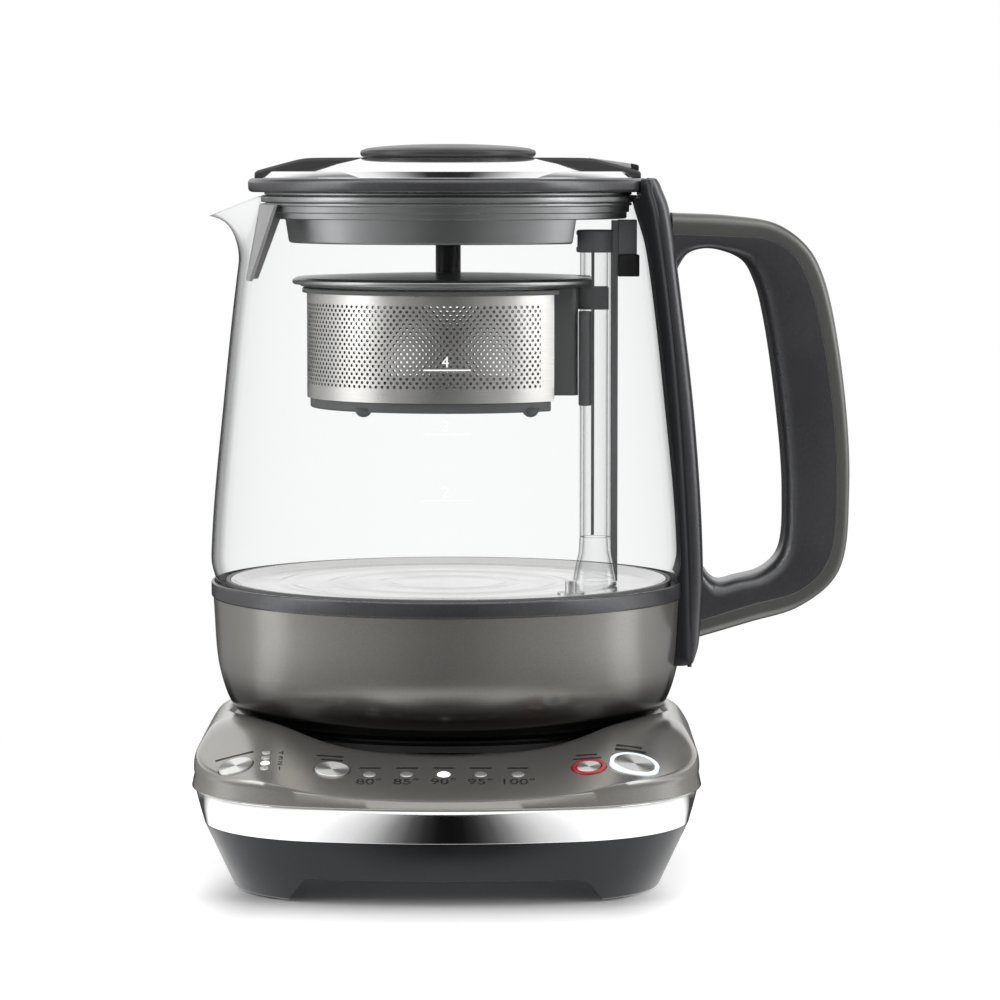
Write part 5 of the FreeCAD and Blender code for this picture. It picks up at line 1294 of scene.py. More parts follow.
    def bar(self, outer: Sequence[Point], inner: Sequence[Point], near: float, far: float) -> Shape:
        """Rounded bar between two lines of a side view, as wide as the handle.

        Args:
            outer: Line of the outer side, as (reach, height above the glass's foot).
            inner: Line of the inner side, with as many points.
            near: Radius of the edges on the inner side.
            far: Radius of the edges on the outer side.

        Returns:
            The bar.
        """
        rings = []
        for (ou, ov), (iu, iv) in zip(outer, inner):
            depth = math.hypot(ou - iu, ov - iv)
            low, high = min(near, depth * 0.6), min(far, depth * 0.75)
            cross = filleted([(0.0, -self.handle_half, low), (depth, -self.handle_half, high),
                              (depth, self.handle_half, high), (0.0, self.handle_half, low)], 8)
            u_step, v_step = (ou - iu) / depth, (ov - iv) / depth
            rings.append([(iu + u_step * d, y, self.foot + iv + v_step * d) for d, y in cross])
        return Shape.loft(rings, caps=True)

    def build_handle(self) -> None:
        """Builds the strap against the glass, the grip's loop and its metallic trim."""
        self.build_strap()
        grip = self.bar(spline(self.grip_pairs_outer), spline(self.grip_pairs_inner), 5.5, 0.25)
        made("dressed_grip", grip, CHARCOAL, Body.JUG, "charcoal_plastic")
        pairs = [(a, b) for a, b in zip(spline(self.grip_outer), spline(self.grip_trim))
                 if b[0] > self.shell_reach(b[1]) - 1.2]
        made("dressed_trim", self.bar([a for a, _ in pairs], [b for _, b in pairs], 0.25, 4.5), TRIM,
             Body.JUG, "smoked_metal", "handle_trim")

    def shell_reach(self, height: float) -> float:
        """Outer reach of the strap's shell at a height above the glass's foot."""
        rising = [(v, u) for u, v in reversed(self.strap_outer)]
        return through(rising, height)

    def wall_radius(self, z: float) -> float:
        """Outer radius of the jug: of its foot, its collar or the glass.

        Args:
            z: Height in millimetres.

        Returns:
            The radius there.
        """
        if z > self.mouth - 0.4:
            return 63.95
        if z > self.collar_top:
            return self.glass_radius(z)
        if z > self.collar_low:
            return self.collar_radius
        return through([(zz, r) for r, zz in self.housing_outline[2:]], z)

    def hugging(self, inner: Callable[[float, float], float], outer: Callable[[float], float],
                half: Callable[[float], float], corner: float, low: float, high: float) -> Shape:
        """Upright bar that follows the jug's wall.

        Args:
            inner: X of the inner side at a Y and a height.
            outer: X of the outer side at a height.
            half: Half of the width at a height.
            corner: Radius of the outer corners.
            low: Lowest height above the glass's foot.
            high: Highest height above the glass's foot.

        Returns:
            The bar.
        """
        rings = []
        heights = [low + (high - low) * k / 90 for k in range(91)]
        ends = [(low, 1.2), (low + 0.25, 0.6), (high - 0.25, 0.6), (high, 1.2)]
        spots = sorted([(v, 0.0) for v in heights[1:-1]] + ends)
        for v, shrink in spots:
            reach, width = outer(v) - shrink, half(v) - shrink
            near = inner(width, v)
            bend = max(0.05, min(corner, reach - near - 0.05))
            arc = arc_points((reach - bend, width - bend), bend, 0.0, math.pi / 2, 6)
            side = [(x, -y) for x, y in reversed(arc)] + arc
            back = [(inner(width * (1 - k / 8), v), width * (1 - k / 8)) for k in range(17)]
            rings.append([(x, y, self.foot + v) for x, y in side + back])
        return Shape.loft(rings, caps=True)

    def build_strap(self) -> None:
        """Builds the strap on the glass and the lighter shell over it."""
        split = [(v, u) for u, v in reversed(self.strap_split)]

        def against_wall(y: float, v: float) -> float:
            """X of the jug's wall at a Y and a height."""
            radius = self.wall_radius(self.foot + v) + 0.1
            return math.sqrt(radius * radius - y * y)

        def against_strap(y: float, v: float) -> float:
            """X where the shell meets the strap or the wall."""
            return max(through(split, v), against_wall(y, v))

        def strap_reach(v: float) -> float:
            """X of the strap's outer face."""
            return max(through(split, v), against_wall(0.0, v) + 0.3)

        def strap_width(v: float) -> float:
            """Half width of the strap, which flares below the mouth."""
            return through(((-30.0, self.strap_half), (100.0, self.strap_half),
                            (130.4, self.strap_half + 3.0)), v)

        made("dressed_strap", self.hugging(against_wall, strap_reach, strap_width, 3.0, -23.8, 130.2),
             HOUSING_PLASTIC, Body.JUG, "black_plastic", "handle_strap")
        shell = self.hugging(against_strap, self.shell_reach, lambda v: self.shell_half, 3.2, -24.6, 130.4)
        made("dressed_shell", shell, CHARCOAL, Body.JUG, "charcoal_plastic", "handle_body")

    def build_riser(self) -> None:
        """Builds the clear riser with its foot and cap."""
        x, turns = self.riser_x, self.riser_turns
        tube = Shape.lathe([(5.0, 103.9), (5.0, 200.5), (3.9, 200.5), (3.9, 103.9)], turns, x)
        made("dressed_riser", tube, TUBE_GLASS, Body.JUG, "clear_plastic", "riser_tube")
        flare = Shape.lathe(filleted([(7.2, 89.95, 0.4), (6.6, 93.0, 2.0), (5.3, 99.0, 6.0),
                                      (5.0, 103.9, 0), (3.9, 103.9, 0), (4.2, 99.0, 6.0), (5.6, 93.0, 2.0),
                                      (6.1, 89.95, 0)]), turns, x)
        foot = mesh_object("dressed_riser_foot", flare)
        slot, cuts = ((3, -1.2), (9, -1.2), (9, 1.2), (3, 1.2)), []
        for quarter in range(4):
            angle = math.pi / 4 + math.pi / 2 * quarter
            cos, sin = math.cos(angle), math.sin(angle)
            corners = [(x + u * cos - v * sin, u * sin + v * cos) for u, v in slot]
            cuts.append(Shape.slab(corners, 89.0, 93.4))
        cut_away(foot, cuts)
        finished(foot, TUBE_GLASS, Body.JUG, "clear_plastic", "riser_foot")
        outline = filleted([(0.0, 202.0, 0), (6.2, 202.0, 0.8), (6.2, 194.8, 0.5), (5.05, 194.8, 0),
                            (5.05, 200.5, 0), (0.0, 200.5, 0)])
        cap = mesh_object("dressed_riser_cap", Shape.lathe(outline, turns, x))
        cut_away(cap, [Shape.slab(rectangle(36.0, 46.0, 2.0), 196.5, 200.4)])
        finished(cap, SMOKY_PLASTIC, Body.JUG, "charcoal_plastic", "riser_cap")
        arm = Shape.prism(rectangle(54.0, 60.0, 4.0, 0.6), 194.2, 205.2, 0.4)
        made("dressed_bracket_arm", arm, SMOKY_PLASTIC, Body.JUG, "black_plastic", "riser_bracket")
        block = Shape.prism(rectangle(54.0, 60.8, 5.0, 0.6), 187.2, 194.15, 0.4)
        made("dressed_bracket_block", block, BLACK_PLASTIC, Body.JUG, "black_plastic", "riser_bracket")
        # Grey strip along the riser, brightened by a painted glow.
        seam = Shape.prism([(45.7, 4.7), (46.7, 4.7), (46.7, 5.3), (45.7, 5.3)], 104.0, 194.6, 0.1)
        made("dressed_riser_seam", seam, SEAM_PAINTED_GLOW, Body.JUG, "clear_plastic")

    def build_filter(self) -> None:
        """Builds the thin screen inside the pouring lip, with its slots."""
        low, high, turns = 186.0, 210.3, 28
        rings = []
        profile = filleted([(58.8, high, 0.4), (59.9, high, 0.4), (64.4, low, 0.4), (63.3, low, 0.4)], 3)
        for k in range(turns + 1):
            share = 2 * k / turns - 1
            ring = []
            for r, z in profile:
                rise = (z - low) / (high - low)
                angle = math.pi + share * math.radians(14.0 + 12.0 * rise)
                ring.append((r * math.cos(angle), r * math.sin(angle), z))
            rings.append(ring)
        screen = mesh_object("dressed_filter", Shape.loft(rings, caps=True))
        slots = []
        for i in range(5):
            outline = arc_points(((i - 2) * 4.4, 191.2), 0.9, math.pi, math.tau, 6)
            outline += [(u, 397.4 - z) for u, z in reversed(outline)]
            slots.append(Shape.slab(outline, -70.0, -50.0, Along.X))
        cut_away(screen, slots)
        finished(screen, FROSTED, Body.JUG, "clear_plastic", "spout_filter")

    def build(self) -> None:
        """Builds the whole jug."""
        self.build_foot()
        self.build_handle()
        self.build_riser()
        self.build_filter()
        self.build_marks()
        self.build_glass()

    def build_marks(self) -> None:
        """Prints the cup marks on the glass: a short line under each number."""
        for i, z in enumerate(self.mark_levels):
            radius = self.glass_radius(z) + 0.03

            def wrapped(u: float, v: float, w: float, level: float = z, reach: float = radius) -> Point3:
                """Wraps a flat mark round the glass, on the front."""
                angle = -math.pi / 2 + u / reach
                lean = self.glass_radius(level + v) - self.glass_radius(level)
                grown = reach + lean + w
                return grown * math.cos(angle), grown * math.sin(angle), level + v
            rings = [[wrapped(-6.7 + 0.6 * k, v, w) for v, w in self.line_section] for k in range(25)]
            # The white ink glows a little: painted light on the printed marks.
            made(f"cup_line_{i + 2}", Shape.loft(rings, caps=True), WHITE_INK_PAINTED_GLOW, Body.JUG, "clear_glass")
            number = written(f"cup_number_{i + 2}", str(i + 2), 3.4,
                             lambda u, v, w, put=wrapped: put(u, v + 2.3, w))
            finished(number, WHITE_INK_PAINTED_GLOW, Body.JUG, "clear_glass")


# ------------------------------------------------------------------------------------------ lid
@dataclass
class Lid:
    """Domed lid with its bridge, knob, tab and plug, and the stem that carries the basket's cover."""

    rim_low: float = 214.0
    rim_top: float = 218.4
    rim_radius: float = 63.6
    cover_radius: float = 60.5
    cover_bevel: float = 3.0
    bevel_rise: float = 2.1
    dome_edge: float = 50.0
    dome_radius: float = 200.0
    bridge_half: float = 11.0
    bridge_flat: float = 45.6
    bridge_end: float = 61.0
    bridge_top: float = 224.7
    bridge_end_top: float = 220.4
    knob_radius: float = 27.9
    knob_low: float = 224.9
    knob_top: float = 229.2
    knob_crown = ((22.0, 0.85), (18.0, 0.55), (14.0, 0.32), (9.0, 0.13), (4.5, 0.03))
    tab_start: float = 44.0
    tab_end: float = 57.9
    tab_tip: float = 60.4
    tab_half: float = 9.0
    plug_radius: float = 58.4
    plug_low: float = 205.6
    skirt_radius: float = 52.0
    skirt_flat: float = 40.4
    skirt_low: float = 198.0
    stem_radius: float = 4.0
    cover_low: float = 184.2
    cover_top: float = 188.2
    cover_flat: float = 45.4
    riser_x: float = 47.0
    riser_gap: float = 6.6

    def dome_height(self, r: float) -> float:
        """Height of the cover's dome at a radius."""
        base = math.sqrt(self.dome_radius ** 2 - self.dome_edge ** 2)
        return self.rim_top + self.bevel_rise + math.sqrt(self.dome_radius ** 2 - r * r) - base

    def build_cover(self) -> None:
        """Builds the rim and the polished cover."""
        rim = filleted([(56.4, self.rim_low, 0), (self.rim_radius - 0.1, self.rim_low, 1.3),
                        (self.rim_radius, self.rim_top, 1.9), (self.cover_radius, self.rim_top, 0),
                        (56.4, self.rim_top, 0)], 7)
        made("dressed_rim", Shape.lathe(rim, FINE_TURNS), CHARCOAL, Body.LID, "charcoal_plastic", "lid_rim")
        edge, low = self.cover_radius - self.cover_bevel, self.rim_top
        crown = [(r, self.dome_height(r), 0.0) for r in (40.0, 30.0, 20.0, 10.0, 0.0)]
        top = low + self.bevel_rise
        outline = filleted([(0.0, low, 0), (self.cover_radius, low, 0.12), (edge, top, 0.5),
                            (self.dome_edge, top, 1.5)] + crown)
        made("dressed_lid_cover", Shape.lathe(outline, FINE_TURNS), CHROME, Body.LID, "chrome", "lid_cover")

    def bridge_height(self, x: float) -> float:
        """Height of the bridge's top.

        Args:
            x: X of the place.

        Returns:
            The height there.
        """
        fall = (self.bridge_top - self.bridge_end_top) / (self.bridge_end - self.bridge_flat)
        beyond = abs(x) - self.bridge_flat
        bend = 2.5
        eased = beyond + math.sqrt(beyond * beyond + bend * bend) - bend * 0.6
        return self.bridge_top - fall * 0.5 * eased

    def build_bridge(self) -> None:
        """Builds the narrow bridge across the dome, in rows from end to end, with rounded long edges."""
        low, rings = self.rim_top - 0.15, []
        xs = [self.bridge_end * k / 60 for k in range(-60, 61)]
        for x in sorted(xs + [-self.bridge_end + 0.25, self.bridge_end - 0.25]):
            limit = math.sqrt(max(0.0, (self.bridge_end + 0.9) ** 2 - x * x))
            width = min(self.bridge_half, limit)
            top = self.bridge_height(x) - max(0.0, abs(x) - (self.bridge_end - 0.8)) ** 2
            bend = min(1.1, (top - low) * 0.45)
            arc = arc_points((width - bend, top - bend), bend, 0.0, math.pi / 2, 6)
            ring = [(width, low)] + arc + [(-y, z) for y, z in reversed(arc)] + [(-width, low)]
            rings.append([(x, y, z) for y, z in ring])
        made("dressed_bridge", Shape.loft(rings, caps=True), KNOB_PLASTIC, Body.LID, "charcoal_plastic",
             "lid_bridge")

    def build_knob(self) -> None:
        """Builds the low knob with its slightly domed top."""
        low, top, r = self.knob_low, self.knob_top, self.knob_radius
        crown = [(x, top - fall, 0.0) for x, fall in self.knob_crown]
        knob = filleted([(0.0, low, 0), (r - 0.9, low, 0.1), (r - 0.5, low + 0.35, 0.2), (r, low + 0.9, 0.6),
                         (r, low + 2.2, 1.0), (r - 2.2, top - 1.35, 2.0)] + crown + [(0.0, top, 0)], 6)
        made("dressed_knob", Shape.lathe(knob, 144), KNOB_PLASTIC, Body.LID, "charcoal_plastic", "knob")

    def build_tab(self) -> None:
        """Builds the bright wedge and its black tip."""
        def across(u: float, v: float, w: float) -> Point3:
            """Places a side view's point across the lid."""
            return u, w, v
        start, end, tip = self.tab_start, self.tab_end, self.tab_tip
        wedge = filleted([(start, 224.45, 0), (end, 221.0, 0), (end, 223.05, 0),
                          (start + 0.8, 224.85, 0.3)])
        made("dressed_tab", Shape.prism(wedge, -self.tab_half, self.tab_half, 0.2, across), BRIGHT_SATIN,
             Body.LID, "polished_steel", "lid_tab")
        point = filleted([(end + 0.03, 221.0, 0), (tip, 220.75, 0.3), (tip, 222.5, 0.7),
                          (end + 0.03, 223.05, 0)])
        made("dressed_tab_tip", Shape.prism(point, -self.tab_half, self.tab_half, 0.2, across),
             BLACK_PLASTIC, Body.LID, "black_plastic", "lid_tab_tip")

    def build_plug(self) -> None:
        """Builds the stepped plug, the seal and the stem."""
        r, low, inner = self.plug_radius, self.plug_low, self.plug_radius - 2.0
        outline = filleted([(inner, 214.0, 0), (r, 214.0, 0.2), (r, 213.2, 0.2), (r - 0.6, 213.1, 0),
                            (r - 0.6, 210.7, 0), (r, 210.6, 0.2), (r, 209.8, 0.3), (r - 0.8, 209.7, 0.2),
                            (r - 0.8, 207.7, 0.3), (r - 1.6, 207.6, 0.2), (r - 1.6, low, 0.5),
                            (0.0, low, 0), (0.0, low + 2.0, 0), (inner - 1.6, low + 2.0, 0),
                            (inner - 1.6, 211.9, 0), (inner, 211.9, 0)], 3)
        plug = Shape.lathe(outline, FINE_TURNS).joined(self.skirt())
        made("dressed_plug", plug, SATIN_GREY, Body.LID, "grey_plastic", "lid_plug")
        seal = filleted([(57.85, 210.75, 0), (59.5, 210.9, 0.5), (59.5, 212.9, 0.5), (57.85, 213.05, 0)])
        made("dressed_seal", Shape.lathe(seal, FINE_TURNS), SATIN_GREY, Body.LID, "silicone", "lid_seal")
        stem = filleted([(0.0, self.cover_top - 0.3, 0), (self.stem_radius, self.cover_top - 0.3, 0),
                         (self.stem_radius, low - 0.02, 0), (0.0, low - 0.02, 0)])
        made("dressed_stem", Shape.lathe(stem, 64), BLACK_PLASTIC, Body.LID, "black_plastic", "stem")

    def skirt(self) -> Shape:
        """The plug's skirt: a tapering ring with a flat side at the riser and a rounded lower edge."""
        low, top = self.skirt_low, self.plug_low + 0.02
        profile = filleted([(0.2, top, 0), (1.4, low, 0.9), (3.0, low, 0.4), (2.4, top, 0)], 5)
        radius, flat = self.skirt_radius, self.skirt_flat
        return Shape.swept(profile, lambda inset: dee_outline(radius - inset, flat - inset, 1.2))

    def riser_slot(self, low: float, high: float) -> Shape:
        """Room round the riser, open towards the handle.

        Args:
            low: Lowest height.
            high: Highest height.

        Returns:
            The shape that is cut away.
        """
        x, gap = self.riser_x, self.riser_gap
        notch = arc_points((x, 0.0), gap, math.pi / 2, math.pi * 1.5, 24) + [(60.0, -gap), (60.0, gap)]
        return Shape.slab(notch, low, high)

    def build_basket_cover(self) -> None:
        """Builds the cover over the basket, with its low dome and a flat side at the riser."""
        low, high = self.cover_low, self.cover_top
        crown = [(r, high - 1.1 * (r / 48.0) ** 2, 0.0) for r in (42.0, 34.0, 26.0, 18.0, 10.0, 0.0)]
        outline = filleted([(0.0, low, 0), (46.8, low, 0.3), (47.3, low + 0.5, 0.3), (49.2, low + 0.7, 0.4),
                            (49.6, low + 1.2, 0.4), (49.6, high - 1.9, 0.5),
                            (48.2, high - 1.1, 0.8)] + crown)
        cover = mesh_object("dressed_basket_cover", Shape.lathe(outline, MIDDLE_TURNS))
        cut_away(cover, [Shape.slab(rectangle(self.cover_flat, 70.0, 60.0), 170.0, 200.0)])
        cut_away(cover, [self.riser_slot(170.0, 200.0)])
        finished(cover, SATIN_GREY, Body.LID, "grey_plastic", "basket_cover")

    def build(self) -> None:
        """Builds the whole lid."""
        self.build_cover()
        self.build_bridge()
        self.build_knob()
        self.build_tab()
        self.build_plug()
        self.build_basket_cover()


# --------------------------------------------------------------------------------------- basket
class NodeTree:
    """Small helper that builds one Geometry Nodes tree."""

    def __init__(self, name: str) -> None:
        """Starts a tree with geometry in and out.

        Args:
            name: Name of the tree.
        """
        self.tree = bpy.data.node_groups.new(name, "GeometryNodeTree")
        self.tree.interface.new_socket("Geometry", in_out="INPUT", socket_type="NodeSocketGeometry")
        self.tree.interface.new_socket("Geometry", in_out="OUTPUT", socket_type="NodeSocketGeometry")
        self.inside = self.tree.nodes.new("NodeGroupInput")
        self.outside = self.tree.nodes.new("NodeGroupOutput")
        self.sizes: dict[str, str] = {}

    def size(self, name: str, value: float, whole: bool = False) -> Socket:
        """Adds a named input with a default value."""
        kind = "NodeSocketInt" if whole else "NodeSocketFloat"
        socket = self.tree.interface.new_socket(name, in_out="INPUT", socket_type=kind)
        socket.default_value = value
        self.sizes[name] = socket.identifier
        return self.inside.outputs[name]

    def node(self, kind: str, *sources: object, **settings: object) -> bpy.types.Node:
        """Adds a node of the full type."""
        return add_node(self.tree, kind, *sources, **settings)

    def math(self, operation: str, *sources: object) -> Socket:
        """Adds a number operation."""
        return self.node("ShaderNodeMath", *sources, operation=operation).outputs[0]

    def apply(self, piece: Piece, **sizes: float) -> None:
        """Runs the tree on a piece and keeps the result as its mesh.

        Args:
            piece: The piece.
            sizes: Values of the named inputs, with underscores for spaces.
        """
        modifier = piece.modifiers.new("nodes", "NODES")
        modifier.node_group = self.tree
        for name, value in sizes.items():
            modifier[self.sizes[name.replace("_", " ")]] = value
        bake(piece)


def perforation_tree() -> NodeTree:
    """Tree that repeats one punched cell in staggered rows and wraps them round an upright axis."""
    tree = NodeTree("perforation")
    columns, rows = tree.size("Columns", 100, True), tree.size("Rows", 20, True)
    pitch, rise = tree.size("Pitch", 0.0021), tree.size("Rise", 0.0013)
    radius, start, low = tree.size("Radius", 0.045), tree.size("Start", 0.0), tree.size("Low", 0.15)
    index = tree.node("GeometryNodeInputIndex").outputs[0]
    row = tree.math("FLOOR", tree.math("DIVIDE", index, columns))
    column = tree.math("MODULO", index, columns)
    shift = tree.math("MULTIPLY", tree.math("MODULO", row, 2.0), 0.5)
    u = tree.math("MULTIPLY", tree.math("ADD", column, shift), pitch)
    v = tree.math("MULTIPLY", row, rise)
    place = tree.node("ShaderNodeCombineXYZ", u, v, 0.0).outputs[0]
    count = tree.math("MULTIPLY", columns, rows)
    points = tree.node("GeometryNodePoints", count, place).outputs[0]
    spread = tree.node("GeometryNodeInstanceOnPoints", points, None,
                       tree.inside.outputs["Geometry"]).outputs[0]
    real = tree.node("GeometryNodeRealizeInstances", spread).outputs[0]
    split = tree.node("ShaderNodeSeparateXYZ", tree.node("GeometryNodeInputPosition").outputs[0])
    angle = tree.math("ADD", tree.math("DIVIDE", split.outputs[0], radius), start)
    reach = tree.math("ADD", radius, split.outputs[2])
    x = tree.math("MULTIPLY", tree.math("COSINE", angle), reach)
    y = tree.math("MULTIPLY", tree.math("SINE", angle), reach)
    z = tree.math("ADD", split.outputs[1], low)
    wrapped = tree.node("ShaderNodeCombineXYZ", x, y, z).outputs[0]
    bent = tree.node("GeometryNodeSetPosition", real, None, wrapped).outputs[0]
    merged = tree.node("GeometryNodeMergeByDistance", bent)
    merged.inputs["Distance"].default_value = 0.00002
    dressed = tree.node("GeometryNodeSetMaterial", merged.outputs[0])
    dressed.inputs["Material"].default_value = material(STEEL)
    tree.tree.links.new(dressed.outputs[0], tree.outside.inputs[0])
    return tree


@dataclass
class Basket:
    """Perforated steel basket with one flat side, its grey rim, ring and column."""

    radius: float = 45.0
    flat: float = 33.4
    wall: float = 0.7
    low: float = 149.8
    high: float = 182.2
    rim_top: float = 183.8
    ring_low: float = 145.8
    hole: float = 0.52
    pitch: float = 2.1
    rise: float = 1.3
    rows: int = 20
    first_row: float = 153.9
    riser_x: float = 47.0
    foot_place: Point = (26.0, 42.9)
    foot_radius: float = 2.7
    foot_level: float = 146.9

    def walled(self, profile: Sequence[Point]) -> Shape:
        """Sweeps a closed profile of (distance inside the wall's face, height) round the basket."""
        return Shape.swept(profile, lambda inset: dee_outline(self.radius - inset, self.flat - inset, 0.3))

    def punched_cell(self) -> Shape:
        """One cell of the sheet with its round hole, lying flat."""
        half, up = self.pitch / 2, self.rise / 2
        edge = [(half, 0.0), (half, up), (0.0, up), (-half, up), (-half, 0.0), (-half, -up), (0.0, -up),
                (half, -up)]
        angles = [0.0, 0.22, 0.5, 0.78, 1.0, 1.22, 1.5, 1.78]
        hole = [(self.hole * math.cos(math.pi * a), self.hole * math.sin(math.pi * a)) for a in angles]
        return Shape.loft([[(x, y, z) for x, y in line] for line, z in
                           ((edge, 0.0), (hole, 0.0), (hole, -self.wall), (edge, -self.wall))])

    def build_wall(self) -> None:
        """Builds the punched sheet and the plain borders round it."""
        limit = math.acos(self.flat / self.radius) + 0.085
        arc = math.tau - 2 * limit
        columns = int(arc * self.radius / self.pitch)
        start = limit + (arc - columns * self.pitch / self.radius) / 2 + 0.25 * self.pitch / self.radius
        sheet = mesh_object("dressed_basket_sheet", self.punched_cell())
        for face in sheet.data.polygons:
            if abs(face.normal.z) > 0.9 and (face.normal.z > 0) != (face.center.z > -self.wall * MM / 2):
                face.flip()
        perforation_tree().apply(sheet, Columns=columns, Rows=self.rows, Pitch=self.pitch * MM,
                                 Rise=self.rise * MM, Radius=self.radius * MM, Start=start,
                                 Low=self.first_row * MM)
        finished(sheet, STEEL, Body.BASKET, "steel", "basket_wall")
        w, over = self.wall + 0.03, -0.03
        foot = self.first_row - self.rise / 2 + 0.1
        head = self.first_row + self.rise * (self.rows - 0.5) - 0.1
        border = self.walled([(over, self.low), (over, foot), (w, foot), (w, self.low)])
        border = border.joined(self.walled([(over, head), (over, self.high), (w, self.high), (w, head)]))
        side = self.side_sheet(limit + self.pitch / self.radius, over + 0.015, w - 0.015)
        border = border.joined(side)
        made("dressed_basket_border", border, STEEL, Body.BASKET, "steel", "basket_wall")

    def side_sheet(self, limit: float, near: float, far: float) -> Shape:
        """Plain part of the wall round the flat side, between the borders.

        Args:
            limit: How far round it reaches, in radians from the flat side's middle.
            near: Inset of its outer face.
            far: Inset of its inner face.

        Returns:
            The sheet.
        """
        def path(inset: float) -> list[Point]:
            """Line round the flat side at an inset."""
            radius, flat = self.radius - inset, self.flat - inset
            corner = math.acos(flat / radius)
            first = arc_points((0.0, 0.0), radius, -limit, -corner, 6)
            middle = [(flat, y) for y in (-20.0, -10.0, 0.0, 10.0, 20.0)]
            return first + middle + [(x, -y) for x, y in reversed(first)]
        return Shape.slab(path(near) + path(far)[::-1], self.low + 1.0, self.high - 1.0)

    def build_frame(self) -> None:
        """Builds the grey rim, ring with its feet, column and clip."""
        rim = self.walled(filleted([(-1.5, self.high, 0.3), (2.4, self.high, 0.3), (2.4, self.rim_top, 0.3),
                                    (-1.5, self.rim_top, 0.5)], 3))
        made("dressed_basket_rim", rim, GREY_PLASTIC, Body.BASKET, "grey_plastic", "basket_rim")
        ring = self.walled(filleted([(1.0, self.ring_low, 0.6), (3.2, self.ring_low, 0.4), (3.2, 149.0, 0),
                                     (1.0, 149.0, 0.3)]))
        across, reach = self.foot_place
        for side in (-1, 1):
            for front in (-1, 1):
                x, y = side * across, front * math.sqrt(reach ** 2 - across ** 2)
                ball = arc_points((0.0, self.foot_level), self.foot_radius, -math.pi / 2, 0.0, 8)
                ring = ring.joined(Shape.lathe(ball + [(0.0, self.foot_level)], 32, x, y))
        made("dressed_basket_ring", ring, GREY_PLASTIC, Body.BASKET, "grey_plastic", "basket_ring")
        notch = arc_points((self.riser_x, 0.0), 6.6, math.pi - 0.99, math.pi + 0.99, 12)
        near, far, half = 33.45, 41.4, 9.0
        clip = [(x, y, 0.0) for x, y in reversed(notch) if x < far]
        outline = filleted([(near, -half, 0), (far, -half, 2.4)] + clip + [(far, half, 2.4), (near, half, 0)])
        column = Shape.prism(outline, 149.6, 183.7, 0.25)
        made("dressed_column", column, GREY_PLASTIC, Body.BASKET, "grey_plastic", "basket_column")
        siphon = Shape.lathe(filleted([(2.0, 146.4, 0.3), (2.0, 176.4, 0.3), (1.2, 176.4, 0.2),
                                       (1.2, 146.4, 0.2)]), 40, 43.4, -8.6)
        made("dressed_siphon", siphon, GREY_PLASTIC, Body.BASKET, "grey_plastic", "siphon_tube")

    def build(self) -> None:
        """Builds the whole basket."""
        self.build_wall()
        self.build_frame()


